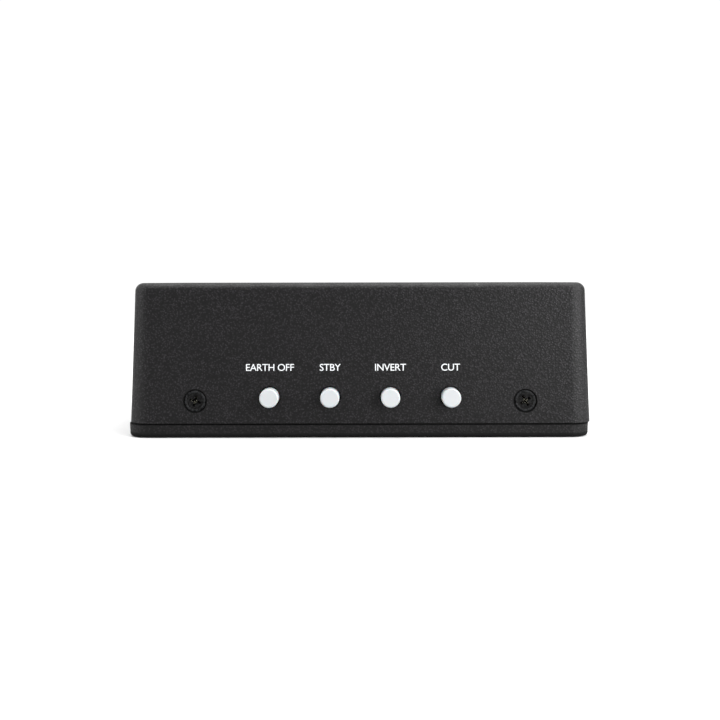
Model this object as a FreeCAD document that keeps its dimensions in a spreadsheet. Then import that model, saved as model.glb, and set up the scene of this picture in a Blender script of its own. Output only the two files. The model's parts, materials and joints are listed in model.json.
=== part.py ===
"""Direct injection box: a die-cast case with a screwed base lid, a switch board with
four latching push-buttons behind its front wall, and a main board that carries two
quarter-inch jacks and a transformer. A male three-pin connector is screwed to the rear.

Millimetres. X runs to the right along the front, Y to the rear and Z up. The origin is
on the underside of the lid, in the middle of the case.
"""
import FreeCAD, Part
import math
import os
import re

import Sketcher
from FreeCAD import Placement, Rotation, Vector

SIZES = [
    # the case
    ("case_length", 121.0, "outside length at the rim"),
    ("case_width", 66.0, "outside width at the rim"),
    ("case_height", 40.2, "overall height with the lid"),
    ("draft_angle", 1.87, "lean of every cast wall, degrees"),
    ("corner_radius", 5.5, "upright corners at the rim"),
    ("wall", 2.4, "wall thickness"),
    ("roof", 2.4, "thickness of the top"),
    ("top_radius", 2.2, "rounding round the top"),
    ("boss_radius", 4.2, "corner bosses for the lid screws"),
    ("boss_inset", 5.8, "boss axis from the rim's outside"),
    ("boss_hole_depth", 14.0, "tapped depth in a boss"),
    # the lid
    ("lid_height", 3.7, "height of the lid and its land"),
    ("lid_draft", 2.5, "lean of the lid's edge, degrees"),
    ("lid_edge_radius", 1.0, "rounding round the underside"),
    ("lid_shrink", 0.05, "how much shorter the lid is than the rim"),
    ("lid_shift", 0.33, "how far the lid's outline sits to the left"),
    ("seam_gap", 0.3, "height of the shadow groove at the seam"),
    ("seam_depth", 1.3, "depth of the shadow groove"),
    ("rib_gap", 0.7, "clearance of the locating ribs in the case"),
    ("rib_width", 1.2, "thickness of the locating ribs"),
    ("rib_height", 1.5, "height of the locating ribs above the rim"),
    # threads and countersunk screws
    ("thread_radius", 1.5, "radius of every tapped hole"),
    ("thread_gap", 0.05, "radial gap between screw and thread"),
    ("screw_play", 0.2, "radial play of a screw in its clearance hole"),
    ("head_radius", 2.75, "countersunk screw head"),
    ("head_rim", 0.36, "straight edge of a countersunk head"),
    ("seat_gap", 0.04, "gap between a countersunk head and its seat"),
    ("ring_depth", 0.22, "straight wall at the mouth of a countersink"),
    ("dish_radius", 2.1, "shallow dish in a countersunk head"),
    ("dish_depth", 0.14, "depth of that dish"),
    ("rim_bevel", 0.2, "bevel round a countersunk head"),
    ("head_recess", 0.12, "how far a screw head lies under its surface"),
    ("cross_reach", 1.55, "half length of a cross recess"),
    ("cross_width", 0.75, "width of a cross recess arm"),
    ("cross_depth", 1.3, "depth of a cross recess"),
    ("cross_taper", 12.0, "lean of the cross recess walls, degrees"),
    ("cross_centre", 0.62, "round middle of a cross recess"),
    ("centre_depth", 0.9, "depth of that middle"),
    ("lid_screw_length", 11.0, "lid screws, overall"),
    ("panel_screw_length", 8.0, "front panel screws, overall"),
    ("connector_screw_length", 5.0, "output connector screws, overall"),
    ("pan_radius", 2.8, "pan head radius"),
    ("pan_height", 1.9, "pan head height"),
    ("board_screw_length", 6.0, "board screw shank"),
    # the push-buttons
    ("button_pitch", 15.61, "spacing of the buttons"),
    ("button_height", 10.6, "button axes above the underside"),
    ("button_gap", 0.35, "radial gap round a cap in the front wall"),
    ("cap_radius", 2.45, "button caps"),
    ("cap_length", 6.8, "length of a cap"),
    ("cap_reach", 2.75, "caps beyond the rim's front"),
    ("cap_edge", 0.45, "rounding of a cap's front edge"),
    ("button_travel", 2.2, "full travel of a button"),
    ("stop_gap", 0.15, "gap left between cap and switch at full travel"),
    ("plunger_side", 2.6, "square plunger"),
    ("plunger_grip", 4.2, "plunger length inside the cap"),
    ("fit_gap", 0.08, "gap each side of a close fit in plastic"),
    ("flange_gap", 0.5, "gap each side of the plunger flange"),
    ("flange_height", 1.2, "thickness of that flange"),
    ("stub_gap", 0.4, "radial gap between the spring and its guide"),
    ("stub_length", 2.0, "length of the spring guide"),
    ("switch_side", 8.5, "square switch housing"),
    ("switch_wall", 0.9, "wall of the housing"),
    ("switch_front", 1.0, "front wall of the housing"),
    ("switch_base", 1.0, "thickness of the switch base"),
    ("wire_radius", 0.18, "spring wire"),
    ("coil_radius", 1.75, "mean radius of the spring"),
    ("coil_turns", 6.0, "turns of the spring"),
    ("terminal_pitch", 2.5, "spacing of the switch terminals"),
    ("terminal_row", 5.0, "spacing of the two terminal rows"),
    ("terminal_radius", 0.35, "switch terminals"),
    # the switch board
    ("board_thickness", 1.6, "both circuit boards"),
    ("pin_hole_gap", 0.12, "radial gap round a pin in a board"),
    ("pin_tail", 1.4, "pin length below a board"),
    ("switch_board_length", 96.0, "length of the switch board"),
    ("switch_board_foot", 1.6, "gap between the lid and the switch board"),
    ("switch_board_height", 14.5, "height of the switch board"),
    ("panel_screw_pitch", 85.6, "spacing of the two front screws"),
    ("panel_screw_height", 9.55, "front screw axes above the underside"),
    ("pad_radius", 4.5, "flat pads inside the front wall"),
    ("pad_height", 0.7, "pads beyond the inside of the wall at the rim"),
    ("spacer_length", 12.0, "hex spacers"),
    ("spacer_flats", 5.5, "hex spacers across flats"),
    # the main board
    ("main_board_length", 99.0, "length of the main board"),
    ("main_board_foot", 2.8, "gap between the lid and the main board"),
    ("main_board_front", 3.8, "gap between the two boards"),
    ("main_board_rear", 1.2, "gap between the main board and the rear wall"),
    ("header_pitch", 2.54, "spacing of the header pins"),
    ("header_count", 8.0, "header pins"),
    ("header_side", 0.64, "square header pins"),
    ("header_rise", 8.6, "header pins above the main board"),
    ("header_setback", 2.4, "header pins from the main board's front"),
    # the quarter-inch jacks
    ("input_jack_x", -38.0, "input jack axis"),
    ("thru_jack_x", -12.0, "thru jack axis"),
    ("jack_axis_height", 9.0, "jack axes above the main board"),
    ("jack_length", 26.0, "jack housing from front to back"),
    ("jack_side", 16.0, "jack housing width"),
    ("jack_top", 17.0, "jack housing height"),
    ("jack_gap", 0.1, "gap between a jack housing and the rear wall"),
    ("plug_radius", 3.25, "bore for the plug"),
    ("plug_relief", 0.2, "how much wider the bore is behind the ferrule"),
    ("plug_depth", 24.6, "depth of the bore in the housing"),
    ("ferrule_wall", 1.5, "wall of the threaded ferrule"),
    ("ferrule_grip", 7.0, "ferrule length inside the housing"),
    ("ferrule_reach", 3.9, "ferrule length outside its seat"),
    ("ferrule_bevel", 0.4, "bevels at the ferrule's mouth"),
    ("strip_start", 2.0, "slot for the tip contact, behind the ferrule"),
    ("strip_thickness", 0.4, "tip contact"),
    ("strip_clearance", 0.35, "gap between the tip contact and a plug"),
    ("strip_bend", 4.5, "bend of the tip contact, from the back of its slot"),
    ("strip_slope", 4.0, "sloping part of the tip contact"),
    ("ferrule_hole_gap", 0.25, "radial gap of the ferrule in the wall"),
    ("seat_margin", 0.6, "spot face beyond the washer"),
    ("seat_bite", 0.1, "least depth of the spot face in the sloping wall"),
    ("washer_radius", 7.0, "washer"),
    ("washer_height", 0.8, "washer thickness"),
    ("nut_flats", 12.7, "hex nut across flats"),
    ("nut_height", 2.4, "hex nut thickness"),
    # the male output connector
    ("output_x", 34.0, "output connector axis"),
    ("output_height", 21.5, "output connector axis above the underside"),
    ("output_flange_length", 26.0, "flange width"),
    ("output_flange_height", 31.0, "flange height"),
    ("output_flange", 2.0, "flange thickness"),
    ("output_wall", 2.3, "wall of the shell behind the flange"),
    ("output_hole_gap", 0.2, "radial gap of the shell in the wall"),
    ("output_collar_width", 1.7, "width of the raised collar"),
    ("output_collar", 0.8, "height of the collar"),
    ("output_bore_radius", 9.5, "bore of the shell"),
    ("key_width", 2.6, "keyway at the top of the bore"),
    ("key_depth", 1.0, "keyway at the top of the bore"),
    ("output_depth", 20.0, "shell length behind the flange"),
    ("insert_height", 7.0, "insulator at the back of the shell"),
    ("contact_radius", 1.2, "contact pins"),
    ("contact_circle", 4.4, "contact pins from the axis"),
    ("contact_reach", 12.5, "contact pins in front of the insulator"),
    ("contact_tail", 4.0, "contact pins behind the insulator"),
    ("output_screw_x", 9.5, "connector screws from the axis, across"),
    ("output_screw_z", 12.0, "connector screws from the axis, up"),
    ("lead_radius", 0.6, "insulated leads"),
    ("lead_run", 5.0, "straight lead behind a contact pin"),
    ("lead_bend", 2.2, "bend radius of a lead"),
    # the transformer
    ("can_x", 9.0, "transformer can centre"),
    ("can_y", 16.5, "transformer can centre"),
    ("can_length", 18.0, "transformer can"),
    ("can_width", 16.0, "transformer can"),
    ("can_height", 19.0, "transformer can"),
    ("can_wall", 0.6, "transformer can"),
    ("can_corner", 1.5, "upright corners of the can"),
    ("bobbin_height", 2.0, "base plate under the core"),
    ("core_length", 15.0, "laminated core"),
    ("core_width", 6.0, "laminated core"),
    ("core_height", 14.0, "laminated core"),
    ("leg_width", 5.0, "middle leg of the core"),
    ("window_width", 3.0, "each window of the core"),
    ("window_height", 9.0, "each window of the core"),
    ("coil_gap", 0.15, "gap between the winding and the core"),
    ("coil_wrap", 3.0, "winding beyond the core, front and back"),
    # the small components
    ("drum_radius", 3.15, "electrolytic capacitors"),
    ("drum_height", 8.0, "electrolytic capacitors"),
    ("film_length", 7.2, "film capacitors"),
    ("film_width", 3.0, "film capacitors"),
    ("film_height", 7.5, "film capacitors"),
    ("chip_length", 5.0, "amplifier chips"),
    ("chip_width", 4.0, "amplifier chips"),
    ("chip_height", 1.5, "amplifier chips"),
    ("resistor_length", 2.0, "chip resistors"),
    ("resistor_width", 1.25, "chip resistors"),
    ("resistor_height", 0.55, "chip resistors"),
    ("resistor_count", 10.0, "chip resistors"),
    ("resistor_pitch", 3.0, "spacing of the chip resistors"),
    ("resistor_start", 16.0, "first chip resistor"),
    ("drum_setback", 7.5, "taller row of components behind the header pins"),
    ("chip_setback", -0.4, "lower row of components behind the header pins"),
]

# Places worked out from the sizes, by name, each as an expression.
PLACES = {
    "slope": "tan(draft_angle * 1deg)",
    "lean_sin": "sin(draft_angle * 1deg)",
    "lean_cos": "cos(draft_angle * 1deg)",
    "rim_front": "(0 - case_width / 2)",
    "rim_rear": "(case_width / 2)",
    "cavity_height": "(case_height - lid_height - roof)",
    "boss_x": "(case_length / 2 - boss_inset)",
    "boss_y": "(case_width / 2 - boss_inset)",
    "button_hole_radius": "(cap_radius + button_gap)",
    "clearance_radius": "(thread_radius + screw_play)",
    "stub_radius": "(coil_radius - wire_radius - stub_gap)",
    "flange_side": "(switch_side - 2 * switch_wall - 2 * flange_gap)",
    "ferrule_radius": "(plug_radius + ferrule_wall)",
    "seat_radius": "(washer_radius + seat_margin)",
    "output_shell_radius": "(output_bore_radius + output_wall)",
    "output_collar_radius": "(output_bore_radius + output_collar_width)",
    "shank_radius": "(thread_radius - thread_gap)",
    "sink_radius": "(head_radius + head_recess + head_rim - ring_depth + seat_gap)",
    "pad_face": "(rim_front + wall + pad_height)",
    "switch_board_face": "(pad_face + spacer_length)",
    "switch_board_back": "(switch_board_face + board_thickness)",
    "switch_board_bottom": "(lid_height + switch_board_foot)",
    "cap_back": "(switch_board_face - rim_front + cap_reach - cap_length)",
    "switch_height": "(cap_back - button_travel - stop_gap)",
    "flange_back": "(switch_height - switch_front - flange_height)",
    "main_board_bottom": "(lid_height + main_board_foot)",
    "main_board_top": "(main_board_bottom + board_thickness)",
    "main_board_start": "(switch_board_back + main_board_front)",
    "main_board_end": "(rim_rear - wall - main_board_rear)",
    "jack_height": "(main_board_top + jack_axis_height)",
    "jack_face": "(rim_rear - wall - (main_board_top + jack_top - lid_height) * slope - jack_gap)",
    "jack_seat": "(rim_rear - (jack_height + seat_radius - lid_height) * slope - seat_bite)",
    "output_face": "(rim_rear - (output_height - lid_height) * slope)",
}

SWITCH_NAMES = ["ground", "mute", "polarity", "filter"]
JACKS = [("input", "input_jack_x"), ("thru", "thru_jack_x")]
CORNERS = [(-1, -1), (1, -1), (1, 1), (-1, 1)]

# A piece modelled along its own +Z is turned to face the front, the rear or down.
TO_FRONT = Rotation(0, 0, 90)
TO_REAR = Rotation(180, 0, 90)
TO_FLOOR = Rotation(0, 0, 180)
INWARD = Rotation(0, 0, -90)
UPRIGHT = Rotation()

doc = FreeCAD.newDocument("direct_box")
sheet = doc.addObject("Spreadsheet::Sheet", "sizes")
parts = []


def fill_sheet():
    for row, (alias, number, note) in enumerate(SIZES, start=1):
        sheet.set(f"A{row}", alias)
        sheet.set(f"B{row}", str(number))
        sheet.set(f"C{row}", note)
        sheet.setAlias(f"B{row}", alias)
    doc.recompute()


ALIASES = {alias for alias, _, _ in SIZES}


def ex(text):
    """An expression in sizes and places, as FreeCAD reads it."""

    def word(match):
        name = match.group()
        if name in PLACES:
            return ex(PLACES[name])
        return "sizes." + name if name in ALIASES else name

    return re.sub(r"[a-z][a-z_]*", word, str(text))


def value(text):
    """The number that an expression in sizes and places gives now."""
    found = sheet.evalExpression(ex(text))
    return float(getattr(found, "Value", found))


# ---- helpers: placing, bodies, sketches and features ----


def place(piece, at, turn=UPRIGHT):
    """Puts a piece at three expressions, turned by a fixed rotation."""
    piece.Placement = Placement(Vector(*(value(text) for text in at)), turn)
    for axis, text in zip("xyz", at):
        piece.setExpression(f"Placement.Base.{axis}", ex(text))
    return piece


def keep(piece, label):
    """Marks a finished object as a sub-part; its label names its file."""
    piece.Label = label
    parts.append(piece)
    return piece


def new_body(name):
    return doc.addObject("PartDesign::Body", name)


def new_sketch(body, role="XY_Plane", offset="0"):
    """A sketch on one of the body's own origin planes, raised along its normal."""
    sketch = body.newObject("Sketcher::SketchObject", body.Name + "_sketch")
    plane = next(f for f in body.Origin.OriginFeatures if f.Role == role)
    sketch.AttachmentSupport = [(plane, "")]
    sketch.MapMode = "FlatFace"
    sketch.setExpression("AttachmentOffset.Base.z", ex(offset))
    return sketch


def bind(sketch, constraint, name, text):
    """Adds a named constraint whose value follows an expression."""
    index = sketch.addConstraint(constraint)
    sketch.renameConstraint(index, name)
    sketch.setExpression(f"Constraints.{name}", ex(text))


def pin_point(sketch, line, end, x, y):
    """Fixes a point of a sketch at two expressions; -1 and -2 are the sketch's own axes."""
    for kind, axis, text, letter in (("DistanceX", -2, x, "x"), ("DistanceY", -1, y, "y")):
        number = value(text)
        if abs(number) < 1e-9:
            sketch.addConstraint(Sketcher.Constraint("PointOnObject", line, end, axis))
        else:
            constraint = Sketcher.Constraint(kind, -1, 1, line, end, number)
            bind(sketch, constraint, f"{letter}{line}_{end}", text)


def circle(sketch, radius, x="0", y="0"):
    centre = Vector(value(x), value(y), 0)
    index = sketch.addGeometry(Part.Circle(centre, Vector(0, 0, 1), value(radius)))
    bind(sketch, Sketcher.Constraint("Radius", index, value(radius)), f"r{index}", radius)
    pin_point(sketch, index, 3, x, y)


def outline(sketch, points):
    """A closed outline of straight lines through points given as expressions."""
    corners = [Vector(value(x), value(y), 0) for x, y in points]
    first = sketch.GeometryCount
    count = len(points)
    for i in range(count):
        sketch.addGeometry(Part.LineSegment(corners[i], corners[(i + 1) % count]))
    for i in range(count):
        following = first + (i + 1) % count
        sketch.addConstraint(Sketcher.Constraint("Coincident", first + i, 2, following, 1))
    for i, (x, y) in enumerate(points):
        pin_point(sketch, first + i, 1, x, y)


def rectangle(sketch, length, width, x="0", y="0"):
    low_x, high_x = f"({x}) - ({length}) / 2", f"({x}) + ({length}) / 2"
    low_y, high_y = f"({y}) - ({width}) / 2", f"({y}) + ({width}) / 2"
    outline(sketch, [(low_x, low_y), (high_x, low_y), (high_x, high_y), (low_x, high_y)])


def rounded_rectangle(sketch, length, width, radius, x="0"):
    """A rectangle with four equal round corners, centred on x along the sketch's first axis."""
    half_l, half_w, r, mid = value(length) / 2, value(width) / 2, value(radius), value(x)
    inner_l, inner_w = half_l - r, half_w - r
    straight = [
        ((-inner_l, -half_w), (inner_l, -half_w)),
        ((half_l, -inner_w), (half_l, inner_w)),
        ((inner_l, half_w), (-inner_l, half_w)),
        ((-half_l, inner_w), (-half_l, -inner_w)),
    ]
    centres = [(inner_l, -inner_w), (inner_l, inner_w), (-inner_l, inner_w), (-inner_l, -inner_w)]
    for (ax, ay), (bx, by) in straight:
        sketch.addGeometry(Part.LineSegment(Vector(mid + ax, ay, 0), Vector(mid + bx, by, 0)))
    for i, (cx, cy) in enumerate(centres):
        full = Part.Circle(Vector(mid + cx, cy, 0), Vector(0, 0, 1), r)
        start = math.radians(90 * i - 90)
        sketch.addGeometry(Part.ArcOfCircle(full, start, start + math.pi / 2))
    for i in range(4):
        sketch.addConstraint(Sketcher.Constraint("Tangent", i, 2, 4 + i, 1))
        sketch.addConstraint(Sketcher.Constraint("Tangent", 4 + i, 2, (i + 1) % 4, 1))
    for line, kind in enumerate(("Horizontal", "Vertical", "Horizontal", "Vertical")):
        sketch.addConstraint(Sketcher.Constraint(kind, line))
    for arc in (5, 6, 7):
        sketch.addConstraint(Sketcher.Constraint("Equal", 4, arc))
    bind(sketch, Sketcher.Constraint("Radius", 4, r), "corner", radius)
    bind(sketch, Sketcher.Constraint("DistanceX", 3, 1, 1, 1, 2 * half_l), "length", length)
    bind(sketch, Sketcher.Constraint("DistanceY", 0, 1, 2, 1, 2 * half_w), "width", width)
    left, low = f"({x}) - ({length}) / 2", f"0 - ({width}) / 2"
    bind(sketch, Sketcher.Constraint("DistanceX", -1, 1, 3, 1, mid - half_l), "left", left)
    bind(sketch, Sketcher.Constraint("DistanceY", -1, 1, 0, 1, -half_w), "low", low)


def pad(body, sketch, length, kind="Pad", taper=None, reverse=False):
    """A Pad or Pocket of a sketch, checked to have changed the solid."""
    before = body.Tip.Shape.Volume if body.Tip and not body.Tip.Shape.isNull() else 0
    feature = body.newObject("PartDesign::" + kind, f"{body.Name}_{kind.lower()}")
    feature.Profile = sketch
    feature.setExpression("Length", ex(length))
    feature.Reversed = reverse
    if taper:
        feature.setExpression("TaperAngle", ex(taper))
    doc.recompute()
    if abs(feature.Shape.Volume - before) < 1e-6:
        raise RuntimeError(f"{feature.Name} changed nothing")
    return feature


def pocket(body, sketch, length, **options):
    return pad(body, sketch, length, kind="Pocket", **options)


def revolve(body, points):
    """A solid of revolution about the body's Z axis, from (radius, height) points."""
    sketch = new_sketch(body, "XZ_Plane")
    outline(sketch, points)
    feature = body.newObject("PartDesign::Revolution", body.Name + "_revolution")
    feature.Profile = sketch
    feature.ReferenceAxis = (sketch, ["V_Axis"])
    feature.Angle = 360
    doc.recompute()
    return feature


def dress(body, kind, size, chosen):
    """A Fillet or Chamfer of the edges of the tip that a test picks out."""
    base = body.Tip
    names = [f"Edge{i}" for i, edge in enumerate(base.Shape.Edges, start=1) if chosen(edge)]
    if not names:
        raise RuntimeError(f"no edge to {kind.lower()} on {body.Name}")
    feature = body.newObject("PartDesign::" + kind, f"{body.Name}_{kind.lower()}")
    feature.Base = (base, names)
    feature.setExpression("Radius" if kind == "Fillet" else "Size", ex(size))
    doc.recompute()
    return feature


def edges_at(height):
    """Picks the edges that lie flat at a height."""
    level = value(height)

    def chosen(edge):
        box = edge.BoundBox
        return abs(box.ZMin - level) < 1e-4 and abs(box.ZMax - level) < 1e-4

    return chosen


def upright_edges(edge):
    """Picks straight edges along Z."""
    direction = edge.tangentAt(edge.FirstParameter)
    return edge.Curve.TypeId == "Part::GeomLine" and abs(direction.z) > 0.999


def primitive(kind, name, dimensions, at=("0", "0", "0"), turn=UPRIGHT):
    """A Part primitive whose dimensions follow expressions."""
    shape = doc.addObject("Part::" + kind, name)
    for prop, text in dimensions.items():
        shape.setExpression(prop, ex(text))
    return place(shape, at, turn)


def cylinder(name, radius, height, at, turn=UPRIGHT):
    return primitive("Cylinder", name, {"Radius": radius, "Height": height}, at, turn)


def block(name, size, at):
    """A box with its low corner at three expressions."""
    return primitive("Box", name, dict(zip(("Length", "Width", "Height"), size)), at)


def cone(name, low, high, height, at, turn=UPRIGHT):
    return primitive("Cone", name, {"Radius1": low, "Radius2": high, "Height": height}, at, turn)


def cut(name, base, tools):
    """The base with every tool taken out of it."""
    tool = tools[0]
    if len(tools) > 1:
        tool = doc.addObject("Part::MultiFuse", name + "_tools")
        tool.Shapes = tools
    result = doc.addObject("Part::Cut", name)
    result.Base = base
    result.Tool = tool
    return result


def group(name, pieces):
    """Separate solids that share one node."""
    compound = doc.addObject("Part::Compound", name)
    compound.Links = pieces
    return compound


# ---- fasteners ----


def countersunk_screw(name, length, at, turn):
    """A cross-recess countersunk screw; its head's face is at its own origin, facing +Z."""
    body = new_body(name)
    cone_end = "(0 - head_rim - head_radius + shank_radius)"
    revolve(
        body,
        [
            ("0", "0 - dish_depth"),
            ("dish_radius", "0 - dish_depth"),
            ("dish_radius + dish_depth", "0"),
            ("head_radius - rim_bevel", "0"),
            ("head_radius", "0 - rim_bevel"),
            ("head_radius", "0 - head_rim"),
            ("shank_radius", cone_end),
            ("shank_radius", f"0 - ({length}) + shank_radius / 3"),
            ("shank_radius * 2 / 3", f"0 - ({length})"),
            ("0", f"0 - ({length})"),
        ],
    )
    cross_recess(body)
    return place(body, at, turn)


def pan_screw(name, length, at, turn):
    """A cross-recess pan head screw; the underside of its head is at its own origin."""
    body = new_body(name)
    revolve(
        body,
        [
            ("0", "pan_height"),
            ("pan_radius * 2 / 3", "pan_height"),
            ("pan_radius", "pan_height * 0.55"),
            ("pan_radius", "0"),
            ("shank_radius", "0"),
            ("shank_radius", f"0 - ({length})"),
            ("0", f"0 - ({length})"),
        ],
    )
    cross_recess(body, "pan_height")
    return place(body, at, turn)


def cross_recess(body, face="0"):
    """The cross for a screwdriver, narrowing inwards."""
    sketch = new_sketch(body, offset=face)
    reach, half = "cross_reach", "cross_width / 2"
    arm = [(reach, f"0 - {half}"), (reach, half), (half, half)]
    points = []
    for _ in range(4):
        points += arm
        arm = [(f"0 - ({y})", x) for x, y in arm]
    outline(sketch, points)
    pocket(body, sketch, "cross_depth", taper="0 - cross_taper")
    middle = new_sketch(body, offset=face)
    circle(middle, "cross_centre")
    pocket(body, middle, "centre_depth")


# ---- the case ----


def make_case():
    """The drafted casting, then the holes drilled in its walls."""
    body = new_body("case_casting")
    rim = new_sketch(body, offset="lid_height")
    rounded_rectangle(rim, "case_length", "case_width", "corner_radius")
    pad(body, rim, "case_height - lid_height", taper="0 - draft_angle")
    dress(body, "Fillet", "top_radius", edges_at("case_height"))
    hollow = new_sketch(body, offset="lid_height")
    inner = ("case_length - 2 * wall", "case_width - 2 * wall")
    rounded_rectangle(hollow, *inner, "corner_radius - wall")
    pocket(body, hollow, "cavity_height", taper="0 - draft_angle", reverse=True)
    bosses = new_sketch(body, offset="lid_height")
    for sx, sy in CORNERS:
        circle(bosses, "boss_radius", f"{sx} * boss_x", f"{sy} * boss_y")
    pad(body, bosses, "cavity_height")
    tapped = new_sketch(body, offset="lid_height")
    for sx, sy in CORNERS:
        circle(tapped, "thread_radius", f"{sx} * boss_x", f"{sy} * boss_y")
    pocket(body, tapped, "boss_hole_depth", reverse=True)
    pads = new_sketch(body, "XZ_Plane", "0 - pad_face")
    for side in (-1, 1):
        circle(pads, "pad_radius", f"{side} * panel_screw_pitch / 2", "panel_screw_height")
    pad(body, pads, "pad_height + wall / 2")
    doc.recompute()
    return keep(cut("case_body", body, front_wall_tools() + rear_wall_tools()), "case_body")


def front_wall_tools():
    """Button holes, and countersunk holes for the two front screws."""
    tools = []
    outside, through = "rim_front - 1", "wall + pad_height + 2"
    for i, name in enumerate(SWITCH_NAMES):
        at = (f"({i} - 1.5) * button_pitch", outside, "button_height")
        tools.append(cylinder(f"{name}_hole", "button_hole_radius", through, at, INWARD))
    for side, word in ((-1, "left"), (1, "right")):
        x = f"{side} * panel_screw_pitch / 2"
        at = (x, outside, "panel_screw_height")
        tools.append(cylinder(f"{word}_screw_hole", "clearance_radius", through, at, INWARD))
        places = [(x, f"panel_surface + {d}", "panel_screw_height") for d in ("(0 - 1)", "ring_depth")]
        tools += countersink(f"{word}_panel", *places, INWARD)
    return tools


def countersink(name, outside, throat, inward):
    """A well from 1 mm outside a surface to the ring depth, then a cone to a point."""
    well = cylinder(name + "_well", "sink_radius", "1 + ring_depth", outside, inward)
    return [well, cone(name + "_sink", "sink_radius", "0", "sink_radius", throat, inward)]


def rear_wall_tools():
    """Jack holes with spot faces, and the output connector's hole and tapped holes."""
    tools = []
    for name, x in JACKS:
        at = (x, "rim_rear + 1", "jack_height")
        hole = "ferrule_radius + ferrule_hole_gap"
        tools.append(cylinder(f"{name}_jack_hole", hole, "wall + 3", at, TO_FRONT))
        face = "rim_rear + 1 - jack_seat"
        tools.append(cylinder(f"{name}_jack_seat", "seat_radius", face, at, TO_FRONT))
    inward = rear_turn(flip=True)
    for name, radius, dx, dz in (
        ("output_hole", "output_shell_radius + output_hole_gap", "0", "0"),
        ("upper_output_screw_hole", "thread_radius", "output_screw_x", "output_screw_z"),
        ("lower_output_screw_hole", "thread_radius", "0 - output_screw_x", "0 - output_screw_z"),
    ):
        at = rear_point(dx, dz, "1")
        tools.append(cylinder(name, radius, "wall + 2", at, inward))
    return tools


def rear_turn(flip=False):
    """Faces a piece out of the sloping rear wall, or with flip into it."""
    lean = value("draft_angle")
    return Rotation(180, 0, (270 if flip else 90) - lean)


def rear_point(dx, dz, out="0"):
    """A point dx across and dz up the sloping rear wall from the output's axis, and out from it."""
    return (
        f"output_x + ({dx})",
        f"output_face - ({dz}) * lean_sin + ({out}) * lean_cos",
        f"output_height + ({dz}) * lean_cos + ({out}) * lean_sin",
    )


PLACES["panel_surface"] = "(rim_front + (panel_screw_height - lid_height) * slope)"


def make_lid():
    """The base lid: an edge with its own draft, a land, locating ribs and countersunk holes."""
    body = new_body("base_lid")
    top = new_sketch(body, offset="lid_height - seam_gap")
    outline_size = ("case_length - lid_shrink", "case_width - lid_shrink")
    rounded_rectangle(top, *outline_size, "corner_radius", "0 - lid_shift")
    pad(body, top, "lid_height - seam_gap", taper="0 - lid_draft", reverse=True)
    dress(body, "Fillet", "lid_edge_radius", edges_at("0"))
    land = new_sketch(body, offset="lid_height - seam_gap")
    land_size = ("case_length - 2 * seam_depth", "case_width - 2 * seam_depth")
    rounded_rectangle(land, *land_size, "corner_radius - seam_depth")
    pad(body, land, "seam_gap")
    ribs = new_sketch(body, offset="lid_height")
    inset = "(wall + rib_gap + rib_width / 2)"
    long_rib = "2 * (boss_x - boss_radius - rib_gap)"
    short_rib = "2 * (boss_y - boss_radius - rib_gap)"
    for side in (-1, 1):
        rectangle(ribs, long_rib, "rib_width", "0", f"{side} * (case_width / 2 - {inset})")
        rectangle(ribs, "rib_width", short_rib, f"{side} * (case_length / 2 - {inset})", "0")
    pad(body, ribs, "rib_height")
    wells = new_sketch(body)
    centres = new_sketch(body, offset="ring_depth")
    for sx, sy in CORNERS:
        circle(wells, "sink_radius", f"{sx} * boss_x", f"{sy} * boss_y")
        circle(centres, "clearance_radius", f"{sx} * boss_x", f"{sy} * boss_y")
    pocket(body, wells, "ring_depth", reverse=True)
    doc.recompute()
    holes = body.newObject("PartDesign::Hole", "lid_holes")
    holes.Profile = centres
    holes.DepthType = "ThroughAll"
    holes.Threaded = False
    holes.setExpression("Diameter", ex("2 * clearance_radius"))
    holes.HoleCutType = "Countersink"
    holes.HoleCutCustomValues = True
    holes.setExpression("HoleCutDiameter", ex("2 * sink_radius"))
    holes.HoleCutCountersinkAngle = 90
    holes.Reversed = True
    doc.recompute()
    keep(body, "base_lid")


def make_case_screws():
    """Lid screws in the corners, and the two screws in the front wall."""
    lid_screws = [
        countersunk_screw(
            f"lid_screw_{i}",
            "lid_screw_length",
            (f"{sx} * boss_x", f"{sy} * boss_y", "head_recess"),
            TO_FLOOR.multiply(Rotation(20 + 35 * i, 0, 0)),
        )
        for i, (sx, sy) in enumerate(CORNERS, start=1)
    ]
    keep(group("lid_screws", lid_screws), "lid_screws")
    panel_screws = []
    for side, word, spin in ((-1, "left", -17), (1, "right", 31)):
        at = (f"{side} * panel_screw_pitch / 2", "panel_surface + head_recess", "panel_screw_height")
        turn = TO_FRONT.multiply(Rotation(spin, 0, 0))
        panel_screws.append(countersunk_screw(f"{word}_panel_screw", "panel_screw_length", at, turn))
    keep(group("panel_screws", panel_screws), "panel_screws")


# ---- the switch board and its switches ----


def make_spacers():
    """Two tapped hex spacers on the pads, and the screws that hold the board to them."""
    spacers, screws = [], []
    for side, word in ((-1, "left"), (1, "right")):
        x = f"{side} * panel_screw_pitch / 2"
        at = (x, "switch_board_face", "panel_screw_height")
        hexagon = primitive(
            "Prism",
            f"{word}_spacer_hexagon",
            {"Circumradius": "spacer_flats / sqrt(3)", "Height": "spacer_length"},
            at,
            TO_FRONT,
        )
        bore = cylinder(f"{word}_spacer_bore", "thread_radius", "spacer_length", at, TO_FRONT)
        spacers.append(cut(f"{word}_spacer", hexagon, [bore]))
        under_head = (x, "switch_board_back", "panel_screw_height")
        turn = TO_REAR.multiply(Rotation(15 * side, 0, 0))
        screws.append(pan_screw(f"{word}_board_screw", "board_screw_length", under_head, turn))
    keep(group("board_spacers", spacers), "board_spacers")
    keep(group("board_screws", screws), "board_screws")


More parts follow.
